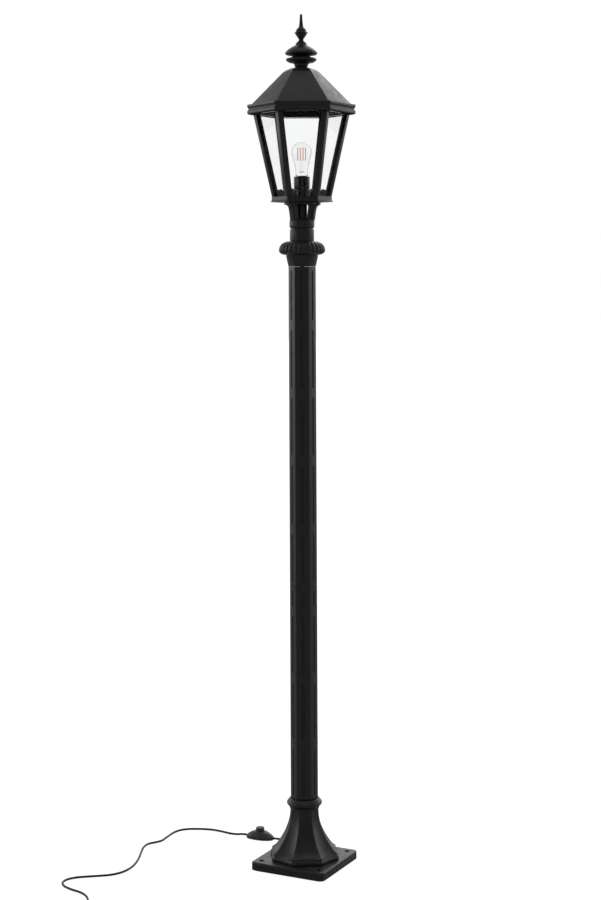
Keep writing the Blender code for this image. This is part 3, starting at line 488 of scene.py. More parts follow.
# %% Copies round the Z axis
def copies_tree():
    tree, given, end = new_tree("copies_round_z", [("Piece", "Object"), ("Copies", "Int"),
                                                   ("First Turn", "Float"), ("Finish", "Material")])
    points = tree.nodes.new("GeometryNodePoints")
    piece = tree.nodes.new("GeometryNodeObjectInfo")
    index = tree.nodes.new("GeometryNodeInputIndex")
    spin = tree.nodes.new("ShaderNodeCombineXYZ")
    spread = tree.nodes.new("GeometryNodeInstanceOnPoints")
    step = calculate(tree, "DIVIDE", 2 * pi, given.outputs["Copies"])
    angle = calculate(tree, "MULTIPLY_ADD", index.outputs["Index"], step, given.outputs["First Turn"])
    tree.links.new(given.outputs["Copies"], points.inputs["Count"])
    tree.links.new(given.outputs["Piece"], piece.inputs["Object"])
    tree.links.new(angle, spin.inputs["Z"])
    tree.links.new(points.outputs["Points"], spread.inputs["Points"])
    tree.links.new(piece.outputs["Geometry"], spread.inputs["Instance"])
    tree.links.new(spin.outputs["Vector"], spread.inputs["Rotation"])
    return close_tree(tree, spread.outputs["Instances"], given, end)


COPIES_ROUND_Z = copies_tree()


def ring_of(name, piece, copies, first_turn, material):
    """The piece copied round the Z axis, as one mesh; the piece itself goes."""
    carrier = linked(name, bpy.data.meshes.new(name))
    grown(carrier, COPIES_ROUND_Z, {"Piece": piece, "Copies": copies, "First Turn": first_turn,
                                    "Finish": material})
    bpy.data.objects.remove(piece, do_unlink=True)
    return carrier


print("tree:", COPIES_ROUND_Z.name)

# %% Lobes cut into a turned ring
def lobes_tree():
    tree, given, end = new_tree("lobes", [("Lobes", "Int"), ("Depth", "Float"), ("Low", "Float"),
                                          ("High", "Float"), ("Fade", "Float"), ("Finish", "Material")])
    where = tree.nodes.new("GeometryNodeInputPosition")
    split = tree.nodes.new("ShaderNodeSeparateXYZ")
    tree.links.new(where.outputs["Position"], split.inputs["Vector"])
    x, y, z = (split.outputs[axis] for axis in "XYZ")
    angle = calculate(tree, "ARCTAN2", y, x)
    half_waves = calculate(tree, "DIVIDE", given.outputs["Lobes"], 2.0)
    wave = calculate(tree, "SINE", calculate(tree, "MULTIPLY", angle, half_waves))
    valley = calculate(tree, "SUBTRACT", 1.0, calculate(tree, "ABSOLUTE", wave))
    above_low = calculate(tree, "SUBTRACT", z, given.outputs["Low"])
    below_high = calculate(tree, "SUBTRACT", given.outputs["High"], z)
    nearest = calculate(tree, "MINIMUM", calculate(tree, "DIVIDE", above_low, given.outputs["Fade"]),
                        calculate(tree, "DIVIDE", below_high, given.outputs["Fade"]))
    share = calculate(tree, "MAXIMUM", 0.0, calculate(tree, "MINIMUM", 1.0, nearest))
    depth = calculate(tree, "MULTIPLY", calculate(tree, "MULTIPLY", valley, share), given.outputs["Depth"])
    flat = tree.nodes.new("ShaderNodeCombineXYZ")
    tree.links.new(x, flat.inputs["X"])
    tree.links.new(y, flat.inputs["Y"])
    outward = tree.nodes.new("ShaderNodeVectorMath")
    outward.operation = "NORMALIZE"
    tree.links.new(flat.outputs["Vector"], outward.inputs[0])
    inward = tree.nodes.new("ShaderNodeVectorMath")
    inward.operation = "SCALE"
    tree.links.new(outward.outputs["Vector"], inward.inputs[0])
    tree.links.new(calculate(tree, "MULTIPLY", depth, -1.0), inward.inputs["Scale"])
    move = tree.nodes.new("GeometryNodeSetPosition")
    tree.links.new(given.outputs["Geometry"], move.inputs["Geometry"])
    tree.links.new(inward.outputs["Vector"], move.inputs["Offset"])
    return close_tree(tree, move.outputs["Geometry"], given, end)


LOBES = lobes_tree()
print("tree:", LOBES.name)

# %% [markdown]
# ## The base
# A square ballast plate sits on a rubber mat, and the cast flange above it is the same square with a
# softer top edge, so a fine dark line runs round the base between them. Each has four bolt holes, for
# fixing the lamp down. The plates are stacks of round-cornered squares, and Booleans drill the holes.

# %% Plates
BASE_CORNER = 0.010
PLATE_LEVELS = {"ballast": (0.0018, 0.0110, 0.0012), "flange": (0.0113, 0.0200, 0.0030)}
BOLT_HOLE = (0.103, 0.0050)
HOLE_EDGE = 0.0010
CLEAR_OF_PLATES = 0.03


def plate(name, low, top, round_top):
    """A square plate, stacked from its middle outwards and back, so that its top edge is rounded too."""
    half, middle, chamfer = BASE_SIDE / 2, 0.012, 0.0006
    profile = eased([(middle, low), (half - chamfer, low), (half, low + chamfer), (half, top), (middle, top)],
                    round_top, steps=5)
    root2 = sqrt(2.0)
    rings = [sided_ring(4, r * root2, z, BASE_TURN + pi / 4, max(0.0005, BASE_CORNER - half + r), 6)
             for r, z in profile]
    return skin(name, rings)


def cylinder_cutter(radius, low, high, x=0.0, y=0.0):
    cutter = skin("cutter", [round_ring(radius, z, 40) for z in (low, high)])
    cutter.data.transform(Matrix.Translation((x, y, 0.0)))
    return cutter


def drilled(obj, cutters):
    for cutter in cutters:
        modifier = obj.modifiers.new("hole", "BOOLEAN")
        modifier.object = cutter
        modifier.solver = "EXACT"
    baked(obj)
    for cutter in cutters:
        bpy.data.objects.remove(cutter, do_unlink=True)
    return obj


def bolt_holes(low, high, flare=0.0):
    reach, radius = BOLT_HOLE
    places = [(reach * cos(a), reach * sin(a)) for a in (BASE_TURN + pi / 4 + k * pi / 2 for k in range(4))]
    return [cylinder_cutter(radius + flare, low, high, x, y) for x, y in places]


def slot_cutter():
    """The ballast plate's open channel, which holds the cord's grip."""
    half, length = 0.0045, 0.110
    box = skin("cutter", [[(-half, 0.0, z), (half, 0.0, z), (half, length, z), (-half, length, z)]
                          for z in (0.0, 0.0112)])
    box.data.transform(Matrix.Rotation(BASE_TURN, 4, "Z"))
    return box


low, top, edge = PLATE_LEVELS["flange"]
holes = bolt_holes(0.0, CLEAR_OF_PLATES) + bolt_holes(top - 0.0008, CLEAR_OF_PLATES, HOLE_EDGE)
flange = drilled(plate("base_flange", low, top, edge), holes)
place(flange, POWDER_COAT, "powder_coat", ["base_plate"])
low, top, edge = PLATE_LEVELS["ballast"]
ballast = drilled(plate("base_ballast", low, top, edge), [*bolt_holes(0.0, CLEAR_OF_PLATES), slot_cutter()])
place(ballast, CAST_IRON, "ballast_iron", ["ballast_plate"])
print("base:", flange.name, ballast.name)

# %% [markdown]
# ## The pedestal
# The pedestal is an eight-sided bell. Its outline is part of a parabola that kicks out a little more at
# its foot, each of its sides is slightly hollow, and a low plinth carries it. A bevelled cone could not
# follow that curve, so its faces come from the formula: eight sides, a row of points across each, and a
# ring at every height. The bead above it is turned.

# %% Hollow-sided rings
PEDESTAL_TURN = radians(22.5 + 4.2)
BELL_TOP, BELL_TOP_R, BELL_FLARE = 0.1309, 0.0340, 4.60
BELL_START, FOOT_R, FOOT_LOW, FOOT_TOP = 0.0345, 0.0832, 0.0203, 0.0305
KICK_BELOW, KICK_FLARE = 0.0460, 30.0


def hollow_ring(sides, r, z, turn, hollow, keep):
    """A polygon whose sides bow in by `hollow`, and whose corners are cut off outside `keep` of each side."""
    half, apothem = r * sin(pi / sides), r * cos(pi / sides)
    ring = []
    for side in range(sides):
        spin = turn + (2 * side + 1) * pi / sides
        for t in (-keep, -keep + 0.05, -0.66, -0.4, -0.2, 0.0, 0.2, 0.4, 0.66, keep - 0.05, keep):
            out, u = apothem - hollow * (1 - (t / keep) ** 2), t * half
            ring.append((out * cos(spin) - u * sin(spin), out * sin(spin) + u * cos(spin), z))
    return ring


def bell_radius(z):
    kick = KICK_FLARE * max(0.0, KICK_BELOW - z) ** 2
    return BELL_TOP_R + BELL_FLARE * (BELL_TOP - z) ** 2 + kick


plinth = [(FOOT_R - 0.0040, FOOT_LOW), (FOOT_R - 0.0012, FOOT_LOW), (FOOT_R - 0.0004, FOOT_LOW + 0.0010),
          (FOOT_R, FOOT_LOW + 0.0034), (FOOT_R, FOOT_LOW + 0.0056), (FOOT_R - 0.0006, FOOT_LOW + 0.0078),
          (FOOT_R - 0.0018, FOOT_TOP - 0.0008), (FOOT_R - 0.0032, FOOT_TOP + 0.0004),
          (FOOT_R - 0.0038, FOOT_TOP + 0.0016)]
bell_rings = [hollow_ring(8, r, z, PEDESTAL_TURN, 0.0016, 0.86) for r, z in plinth]
for z in np.linspace(BELL_START, BELL_TOP, 30):
    share = (BELL_TOP - z) / (BELL_TOP - BELL_START)
    hollow, keep = 0.0004 + 0.0032 * share, 0.90 - 0.03 * share
    bell_rings.append(hollow_ring(8, bell_radius(z), z, PEDESTAL_TURN, hollow, keep))
pedestal = skin("bell_pedestal", bell_rings)
place(pedestal, POWDER_COAT, "powder_coat", ["pedestal"], sharp=50.0)

# %% The bead round the column's foot
GAP = 0.0003
BEAD = [(0.0150, 0.0), (0.0338, 0.0), (0.0341, 0.0030), (0.0348, 0.0052), (0.0364, 0.0072), (0.0388, 0.0092),
        (0.0402, 0.0118), (0.0403, 0.0142), (0.0392, 0.0168), (0.0370, 0.0192), (0.0350, 0.0218),
        (0.0335, 0.0237), (0.0150, 0.0237)]
bead = turned("collar_bead", [(r, BELL_TOP + GAP + h) for r, h in BEAD], 0.0009, count=96)
place(bead, POWDER_COAT, "powder_coat", ["collar_ring"])
print("pedestal and bead made")

# %% [markdown]
# ## The column
# Two hexagonal castings stand one on the other. Their faces bow out by a millimetre, and every face has
# a row of narrow flutes with round ends, so a plain prism would miss the fine lines that the light draws
# down it. A Boolean could mill the flutes, but a formula keeps clean quads: each point across a face
# moves in by the flute's depth there, and the flute's radius fades to nothing at its ends.

# %% Fluted castings
COLUMN_TURN = radians(-2.9)
COLUMN_R = 0.0314
COLUMN_FOOT, COLUMN_JOINT, COLUMN_TOP = 0.1552, 0.6400, 1.3740
FLUTE_R, FLUTE_PROUD, FLUTE_TIP, FACE_BOW = 0.0030, 0.0006, 0.0070, 0.0011
LOWER_FLUTES = ((0.161, 0.271), (0.291, 0.421), (0.441, 0.575), (0.595, 0.634))
UPPER_FLUTES = ((0.650, 0.763), (0.783, 0.920), (0.940, 1.074), (1.094, 1.230), (1.250, 1.366))


def flute_radius(z, spans):
    for low, high in spans:
        if low < z < high:
            into = min(z - low, high - z, FLUTE_TIP) / FLUTE_TIP
            return FLUTE_R * sqrt(1 - (1 - into) ** 2)
    return 0.0


def fluted_ring(z, flute, inset=0.0):
    half, apothem = COLUMN_R * sin(pi / 6), COLUMN_R * cos(pi / 6) - inset
    beside = [t * half for t in (0.25, 0.55, 0.93, 0.975)]
    arc = [FLUTE_R * sin(a) for a in np.linspace(0.0, radians(78), 6)]
    places = [-u for u in reversed(arc + beside)] + arc[1:] + beside
    ring = []
    for side in range(6):
        spin = COLUMN_TURN + (2 * side + 1) * pi / 6
        for u in places:
            depth = max(0.0, sqrt(max(0.0, flute ** 2 - u ** 2)) - FLUTE_PROUD)
            out = apothem + FACE_BOW * (1 - (u / half) ** 2) - depth
            ring.append((out * cos(spin) - u * sin(spin), out * sin(spin) + u * cos(spin), z))
    return ring


def fluted_column(name, low, high, spans, node):
    heights = {low, low + 0.0005, high - 0.0005, high}
    for start, end in spans:
        for share in (0.0, 0.02, 0.08, 0.18, 0.32, 0.5, 0.72, 1.0):
            heights.update((start + share * FLUTE_TIP, end - share * FLUTE_TIP))
    rings = [fluted_ring(z, flute_radius(z, spans), 0.0004 * (z == low)) for z in sorted(heights)]
    obj = skin(name, rings)
    print(name, "has", len(obj.data.polygons), "faces")
    return place(obj, POWDER_COAT, "powder_coat", [node], sharp=40.0)


fluted_column("column_lower_casting", COLUMN_FOOT, COLUMN_JOINT, LOWER_FLUTES, "lower_column")
fluted_column("column_upper_casting", COLUMN_JOINT + GAP, COLUMN_TOP, UPPER_FLUTES, "upper_column")

# %% [markdown]
# ## The crown
# Above the column the hexagon swells into a round seat, and a fat moulding with upright lobes sits on
# it. The swelling mixes two outlines, more of the circle the higher it goes. The moulding is turned, and
# the second tree presses its lobes in, so that their number and depth stay two plain inputs.

# %% The flare and the lobed moulding
CROWN_LOW, CROWN_TOP, FLARE_R = 1.4010, 1.4325, 0.0372
CROWN_LOBES = 28


def column_reach(angle):
    """How far the column's bowed outline reaches at this angle from one of its corners."""
    off_middle = angle % (pi / 3) - pi / 6
    bow = FACE_BOW * (1 - (tan(off_middle) / tan(pi / 6)) ** 2)
    return (COLUMN_R * cos(pi / 6) + bow) / cos(off_middle)


flare_angles = [2 * pi * k / 120 for k in range(120)]
reach = [min(column_reach(a), COLUMN_R - 0.0002) + 0.0001 for a in flare_angles]
flare_rings = []
for share in np.linspace(0.0, 1.0, 12):
    z = COLUMN_TOP + GAP + share * (CROWN_LOW - GAP - COLUMN_TOP - GAP)
    mixed = [r + (FLARE_R - r) * share ** 0.9 for r in reach]
    flare_rings.append([(r * cos(a + COLUMN_TURN), r * sin(a + COLUMN_TURN), z)
                        for a, r in zip(flare_angles, mixed)])
place(skin("crown_flare", flare_rings), POWDER_COAT, "powder_coat", ["crown_bell"], sharp=30.0)

MOULDING = [(0.0, 0.0), (0.0372, 0.0), (0.0446, 0.0012), (0.0496, 0.0036), (0.0526, 0.0070), (0.0536, 0.0108),
            (0.0531, 0.0150), (0.0514, 0.0192), (0.0488, 0.0234), (0.0452, 0.0268), (0.0402, 0.0296),
            (0.0350, 0.0312), (0.0, 0.0312)]
moulding = turned("crown_moulding", [(r, CROWN_LOW + h) for r, h in MOULDING], 0.0012, count=CROWN_LOBES * 12)
grown(moulding, LOBES, {"Lobes": CROWN_LOBES, "Depth": 0.0024, "Low": CROWN_LOW + 0.0005,
                        "High": CROWN_TOP - 0.0014, "Fade": 0.0050, "Finish": POWDER_COAT})
place(moulding, POWDER_COAT, "powder_coat", ["crown_ring"], sharp=50.0)
print("crown lobes:", CROWN_LOBES)

# %% [markdown]
# ## Neck and yoke
# A plain drum carries the yoke, whose three arms rise and step out to a round plate under the lantern's
# floor. Between them the boss stands clear, and a sliver of daylight shows beside it. The arms are lofts
# of rounded oblongs, so that they keep their heavy, cast look.

# %% Drum, hub, arms and boss
YOKE_TURN = radians(10.0)
NECK_TOP = 1.4630
ARM_WIDTH = 0.0160
ARM_SECTIONS = ((1.4660, 0.0120, 0.0276), (1.4780, 0.0146, 0.0282), (1.4830, 0.0148, 0.0298),
                (1.4910, 0.0152, 0.0310), (1.5010, 0.0164, 0.0325), (1.5090, 0.0174, 0.0342),
                (1.5125, 0.0176, 0.0364), (1.5150, 0.0176, 0.0408), (1.5160, 0.0176, 0.0432),
                (1.5170, 0.0176, 0.0436), (1.5222, 0.0176, 0.0436))
YOKE_PLATE_R, YOKE_PLATE_LOW, YOKE_TOP = 0.0405, 1.5165, 1.5223
BOSS_R, BOSS_LOW = 0.0122, 1.4833

drum = turned("neck_drum_turned", [(0.0, 1.4328), (0.0279, 1.4328), (0.0279, 1.4577), (0.0269, 1.4592),
                                   (0.0264, 1.4627), (0.0, 1.4627)], 0.0008)
place(drum, POWDER_COAT, "powder_coat", ["neck_drum"])


def oblong_ring(x0, x1, y0, y1, z, corner, steps=3):
    ring = []
    for quarter, (x, y) in enumerate(((x1, y1), (x0, y1), (x0, y0), (x1, y0))):
        cx = x - corner if x == x1 else x + corner
        cy = y - corner if y == y1 else y + corner
        for angle in np.linspace(quarter * pi / 2, (quarter + 1) * pi / 2, steps + 1):
            ring.append((cx + corner * cos(angle), cy + corner * sin(angle), z))
    return ring


arm = skin("arm", [oblong_ring(inner, outer, -ARM_WIDTH / 2, ARM_WIDTH / 2, z, 0.0017)
                   for z, inner, outer in ARM_SECTIONS])
arms = ring_of("yoke_arms", arm, 3, radians(-30.0) + YOKE_TURN, POWDER_COAT)
hub = turned("yoke_hub", [(0.0, NECK_TOP), (0.0270, NECK_TOP), (0.0288, NECK_TOP + 0.0030), (0.0288, 1.4790),
                          (0.0275, 1.4828), (0.0, 1.4830)], 0.0010)
plate_line = [(0.0, YOKE_PLATE_LOW), (YOKE_PLATE_R, YOKE_PLATE_LOW), (YOKE_PLATE_R, YOKE_TOP),
              (0.0, YOKE_TOP)]
yoke = joined("yoke_casting", [hub, arms, turned("yoke_plate", plate_line, 0.0007)])
place(yoke, POWDER_COAT, "powder_coat", ["yoke"])
boss_top = YOKE_PLATE_LOW - GAP
boss_line = [(0.0, BOSS_LOW), (BOSS_R, BOSS_LOW), (BOSS_R, boss_top), (0.0, boss_top)]
boss = turned("yoke_centre_boss", boss_line, 0.0006)
place(boss, POWDER_COAT, "powder_coat", ["yoke_boss"])
print("yoke arms: 3, boss made")

# %% [markdown]
# ## The lantern's frame
# The lantern is a hexagonal tray, six leaning posts and a deep cornice, all in the same powder coat. The
# cornice has a groove between two square edges, and a short lip hangs down behind its face to cover the
# panes' upper edges. A post is arrow-shaped in section: two flanges follow the hexagon's sides and hold
# the panes, and a web points at the lamp's axis. A bracket with a rounded top ties each web to the tray
# with one screw.

# %% Tray and cornice
LANTERN_TURN = radians(1.35)
FLOOR_Z, FLOOR_TOP, FLOOR_R, LIP_R = 1.5226, 1.5348, 0.0695, 0.0716
CORNICE_FOOT, CORNICE_TOP, CORNICE_R, CORNICE_MOUTH = 1.7250, 1.7469, 0.1250, 0.0980

tray = six_sided("lantern_tray", [(0.0, FLOOR_Z), (LIP_R, FLOOR_Z), (LIP_R, FLOOR_Z + 0.0022),
                                  (FLOOR_R, FLOOR_Z + 0.0036), (FLOOR_R, FLOOR_TOP), (0.0, FLOOR_TOP)],
                 LANTERN_TURN, ease=0.0007)
place(tray, POWDER_COAT, "powder_coat", ["lantern_floor"])

CORNICE_FACE = ((0.0095, 0.0), (0.0080, -0.0014), (0.0036, -0.0014), (0.0008, -0.0002), (0.0, 0.0024),
                (0.0, 0.0062), (0.0010, 0.0082), (0.0030, 0.0098), (0.0030, 0.0122), (0.0008, 0.0148),
                (0.0, 0.0168))
cornice_face = [(CORNICE_R - back, CORNICE_FOOT + height) for back, height in CORNICE_FACE]
cornice_line = [(CORNICE_MOUTH, CORNICE_FOOT), *cornice_face, (CORNICE_R, CORNICE_TOP - 0.0012),
                (CORNICE_R - 0.0016, CORNICE_TOP), (CORNICE_MOUTH, CORNICE_TOP)]
cornice = six_sided("lantern_cornice", cornice_line, LANTERN_TURN, corner=0.0022, ease=0.0006, loop=True)
place(cornice, POWDER_COAT, "powder_coat", ["cornice"])
cornice.data.materials.append(SHADED_INSIDE_COAT)
# Painted shade: faces that point inwards or down take the darker coat without reflections.
for face in cornice.data.polygons:
    inwards = face.normal.x * face.center.x + face.normal.y * face.center.y < 0.0
    downwards = face.normal.z < -0.7
    face.material_index = int(inwards or downwards)
print("tray and cornice made")

# %% Posts
POST_FOOT, POST_TOP, POST_FOOT_R, POST_LEAN = 1.5351, 1.7247, 0.0690, 0.2222
POST_FLANGE, POST_THICK, POST_WEB, POST_DEPTH = 0.0120, 0.0035, 0.0060, 0.0180
BRACKET = (0.0150, 0.0100, 0.0160)


def post_radius(z):
    return POST_FOOT_R + POST_LEAN * (z - POST_FOOT)


def post_section(z):
    r = post_radius(z)
    along, inward = Vector((-sin(pi / 6), cos(pi / 6))), Vector((-cos(pi / 6), -sin(pi / 6)))
    corner = Vector((r, 0.0))
    tip = corner + along * POST_FLANGE
    back = tip + inward * POST_THICK
    root = corner + inward * POST_THICK + along * ((POST_WEB + POST_THICK) / 2 / cos(pi / 6))
    half = [tip, back, root, Vector((r - POST_DEPTH, POST_WEB / 2))]
    points = [corner, *half, *(Vector((p.x, -p.y)) for p in reversed(half))]
    return [(*p, z) for p in points]


def bevelled(obj, width, segments=2, angle=30.0):
    bevel = obj.modifiers.new("bevel", "BEVEL")
    bevel.width = width
    bevel.segments = segments
    bevel.limit_method = "ANGLE"
    bevel.angle_limit = radians(angle)
    return baked(obj)


post = bevelled(skin("post", [post_section(POST_FOOT), post_section(POST_TOP)]), 0.0006)
length, width, height = BRACKET
foot_x = post_radius(POST_FOOT) - POST_DEPTH + 0.004
tip_x, cut = foot_x - length, 0.004
tongue = [(foot_x, 0.0), (tip_x, 0.0), (tip_x, height - cut), (tip_x + cut, height), (foot_x, height)]
sides = [[(x, y, POST_FOOT + z) for x, z in eased(tongue, 0.0030, loop=True)]
         for y in (width / 2, -width / 2)]
bracket = bevelled(skin("bracket", sides), 0.0004)
SCREW_HEAD = ((0.0, 0.0), (0.0030, 0.0), (0.0028, 0.0009), (0.0016, 0.0016), (0.0, 0.0018))
screw = skin("screw", [round_ring(r, z, 20) for r, z in SCREW_HEAD])
screw.data.transform(Matrix.Translation((foot_x - length / 2, 0.0, POST_FOOT + height - 0.0002)))
one_post = joined("one_post", [post, bracket, screw])
posts = ring_of("lantern_posts", one_post, 6, LANTERN_TURN, POWDER_COAT)
place(posts, POWDER_COAT, "powder_coat", [f"corner_post_{k}" for k in range(1, 7)])
print("posts: 6, with", len(posts.data.polygons), "faces")

# %% [markdown]
# ## The panes
# Six tapering panes of 3 mm glass sit behind the flanges. Real thickness matters here, because the edge
# of a pane is what the eye finds, so each is a thin slab with a ground edge.

# %% Panes
PANE_THICK, PANE_INSET, PANE_FOOT, PANE_TOP = 0.0030, 0.0080, 1.5352, 1.7250


def pane_outline(z):
    outer = post_radius(z) * cos(pi / 6) - POST_THICK - GAP
    inner, half = outer - PANE_THICK, post_radius(z) / 2 - PANE_INSET
    return [(outer, -half, z), (outer, half, z), (inner, half, z), (inner, -half, z)]


pane = bevelled(skin("pane", [pane_outline(PANE_FOOT), pane_outline(PANE_TOP)]), 0.0003, 1)
panes = ring_of("lantern_panes", pane, 6, LANTERN_TURN + pi / 6, PANE_GLASS)
place(panes, PANE_GLASS, "clear_glass", [f"glass_pane_{k}" for k in range(1, 7)])
print("panes: 6")

# %% [markdown]
# ## Roof and finial
# The roof is a hollow six-sided shell that lifts off to reach the bulb. Three turned pieces are stacked
# on it, screwed to its stud: a saucer, a wider cap like a parasol, and an onion-shaped spike.

# %% Roof
ROOF_FOOT, ROOF_TOP, ROOF_R, STUD_HOLE = 1.7472, 1.8306, 0.1150, 0.0046
ROOF_CEILING = ROOF_TOP - 0.0125
roof_line = [(ROOF_R - 0.0050, ROOF_FOOT), (ROOF_R, ROOF_FOOT), (0.0427, 1.8205), (0.0352, 1.8254),
             (0.0220, ROOF_TOP), (STUD_HOLE, ROOF_TOP), (STUD_HOLE, ROOF_CEILING), (0.0390, ROOF_CEILING)]
roof = six_sided("roof_hexagon", roof_line, LANTERN_TURN, corner=0.0020, ease=0.0010, loop=True)
place(roof, POWDER_COAT, "powder_coat", ["roof_shell"], body="roof")

# %% Finial
SAUCER = [(STUD_HOLE, 1.8309), (0.0134, 1.8309), (0.0146, 1.8335), (0.0160, 1.8366), (0.0166, 1.8396),
          (0.0190, 1.8412), (0.0285, 1.8434), (0.0338, 1.8466), (0.0357, 1.8500), (0.0344, 1.8524),
          (0.0290, 1.8537), (0.0230, 1.8545), (0.0212, 1.8558), (0.0205, 1.8572), (STUD_HOLE, 1.8572)]
PARASOL = [(STUD_HOLE, 1.8575), (0.0205, 1.8575), (0.0222, 1.8586), (0.0330, 1.8604), (0.0366, 1.8624),
           (0.0374, 1.8645), (0.0364, 1.8672), (0.0330, 1.8708), (0.0292, 1.8738), (0.0240, 1.8772),
           (0.0190, 1.8802), (0.0142, 1.8822), (0.0128, 1.8838), (0.0128, 1.8864), (0.0112, 1.8884),
           (0.0082, 1.8912), (0.0058, 1.8942), (STUD_HOLE, 1.8945)]
SPIKE = [(0.0, 1.8948), (0.0053, 1.8948), (0.0055, 1.8968), (0.0078, 1.9002), (0.0108, 1.9046),
         (0.0130, 1.9084), (0.0140, 1.9102), (0.0158, 1.9112), (0.0158, 1.9119), (0.0128, 1.9130),
         (0.0120, 1.9158), (0.0112, 1.9186), (0.0090, 1.9213), (0.0062, 1.9238), (0.0049, 1.9262),
         (0.0046, 1.9310), (0.0038, 1.9360), (0.0033, 1.9420), (0.0030, 1.9500), (0.0027, 1.9528),
         (0.0016, 1.9545), (0.0, 1.9550)]
saucer = turned("finial_saucer", SAUCER, 0.0012, loop=True)
parasol = turned("finial_parasol", PARASOL, 0.0012, loop=True)
spike = turned("finial_pinnacle", SPIKE, 0.0006)
for piece, node in ((saucer, "finial_dish"), (parasol, "finial_cap"), (spike, "finial_spike")):
    place(piece, POWDER_COAT, "powder_coat", [node], "finial")
print("finial:", saucer.name, parasol.name, spike.name)

# %% [markdown]
# ## Lampholder and bulb
# The holder is a gloss black moulding in two halves, with a fine groove where they screw together. The
# bulb is clear, so its inside shows: a glass stem and four upright filaments on two wires. Its cap has a
# real screw thread, which a formula cuts: the radius dips where height and angle fall in step.

# %% Holder
HOLDER_R, HOLDER_FOOT, HOLDER_SPLIT, HOLDER_TOP = 0.0184, 1.5351, 1.5530, 1.5810
CUP_FLOOR = HOLDER_FOOT + 0.006
cup = turned("holder_cup", [(0.0054, HOLDER_FOOT), (0.0176, HOLDER_FOOT), (HOLDER_R, HOLDER_FOOT + 0.0012),
                            (HOLDER_R, HOLDER_SPLIT), (0.0156, HOLDER_SPLIT), (0.0156, CUP_FLOOR),
                            (0.0054, CUP_FLOOR)], 0.0006, loop=True, count=72)
place(cup, GLOSS_PLASTIC, "black_phenolic", ["holder_cap"])
sleeve = turned("holder_sleeve", [(0.0158, HOLDER_SPLIT + GAP), (HOLDER_R, HOLDER_SPLIT + GAP),
                                  (HOLDER_R, HOLDER_TOP - 0.0010), (HOLDER_R - 0.0008, HOLDER_TOP),
                                  (0.0158, HOLDER_TOP)], 0.0005, loop=True, count=72)
place(sleeve, GLOSS_PLASTIC, "black_phenolic", ["holder_shell"])

# %% Bulb cap with its thread
THREAD_PITCH, THREAD_DEPTH = 0.0036, 0.0009


def thread_ring(r, z, count=60):
    depth = THREAD_DEPTH * min(1.0, max(0.0, (z - 1.5672) / 0.002), max(0.0, (1.5822 - z) / 0.002))
    turns = [k / count for k in range(count)]
    reach = [r - depth * (0.5 + 0.5 * cos(2 * pi * ((z - 1.5670) / THREAD_PITCH - t))) for t in turns]
    return [(q * cos(2 * pi * t), q * sin(2 * pi * t), z) for q, t in zip(reach, turns)]


cap_rings = [round_ring(r, z, 60) for r, z in ((0.0075, 1.5631), (0.0085, 1.5631), (0.0131, 1.5668))]
cap_rings += [thread_ring(0.0131, z) for z in np.linspace(1.5670, 1.5826, 44)]
cap_rings += [round_ring(r, z, 60) for r, z in ((0.0121, 1.5826), (0.0121, 1.5680), (0.0075, 1.5642))]
bulb_cap = skin("bulb_screw_cap", cap_rings, loop=True)
place(bulb_cap, NICKEL, "bulb_cap_metal", ["bulb_cap"], "bulb", sharp=60.0)

# %% Envelope and filaments
BULB_R, BULB_CENTRE, BULB_WALL = 0.0230, 1.6382, 0.0007
BULB_SHOULDER = radians(108)


def on_bulb(angle):
    """A point of the bulb's round part, at this angle from its crown."""
    return BULB_R * sin(angle), BULB_CENTRE + BULB_R * cos(angle)


shoulder_r, shoulder_z = on_bulb(BULB_SHOULDER)
neck_line, _ = smooth_route([(0.0140, 0.0, 1.5830), (0.0141, 0.0, 1.5940), (0.0155, 0.0, 1.6060),
                             (0.0186, 0.0, 1.6185), (shoulder_r, 0.0, shoulder_z)], 0.0030)
envelope = [(r, z) for r, _, z in neck_line[:-1]]
envelope += [on_bulb(angle) for angle in np.linspace(BULB_SHOULDER, 0.0, 22)]
lining = [(max(0.0, r - BULB_WALL), z - BULB_WALL * (z > BULB_CENTRE) * (z - BULB_CENTRE) / BULB_R)
          for r, z in reversed(envelope)]
bulb = skin("bulb_envelope", [round_ring(r, z, 72) for r, z in envelope + lining], loop=True)
place(bulb, BULB_GLASS, "clear_glass", ["bulb_glass"], "bulb", sharp=180.0)

FILAMENT_RING, FILAMENT_SPAN = 0.0095, (1.6190, 1.6470)
low, high = FILAMENT_SPAN
STEM = [(0.0, 1.5836), (0.0085, 1.5836), (0.0060, 1.5890), (0.0036, 1.5960), (0.0030, low - 0.0060),
        (0.0022, low - 0.0020), (0.0014, low), (0.0013, high - 0.0010), (0.0, high)]
stem = turned("bulb_stem_glass", STEM, 0.0008, count=24)
place(stem, BULB_GLASS, "clear_glass", [], "bulb", sharp=180.0)
FERRULE = [(0.0, 1.5905), (0.0050, 1.5905), (0.0054, 1.5915), (0.0050, 1.5925), (0.0, 1.5925)]
place(turned("bulb_ferrule", FERRULE, 0.0004, count=24), NICKEL, "filament", [], "bulb")
STICK = [(0.0, low), (0.0011, low), (0.0011, high), (0.0, high)]
stick = skin("stick", [round_ring(r, z, 12) for r, z in STICK])
stick.data.transform(Matrix.Translation((FILAMENT_RING, 0.0, 0.0)))
spokes = []
for end in (low - 0.0004, high - 0.0002):
    outlines = [oblong_ring(0.0008, FILAMENT_RING, -0.00025, 0.00025, z, 0.0001, 1)
                for z in (end, end + 0.0006)]
    spokes.append(skin("spoke", outlines))
filament = joined("filament", [stick, *spokes])
filaments = ring_of("bulb_filaments", filament, 4, radians(20.0), FILAMENT)
place(filaments, FILAMENT, "filament", ["bulb_stem"], "bulb")
print("bulb made")

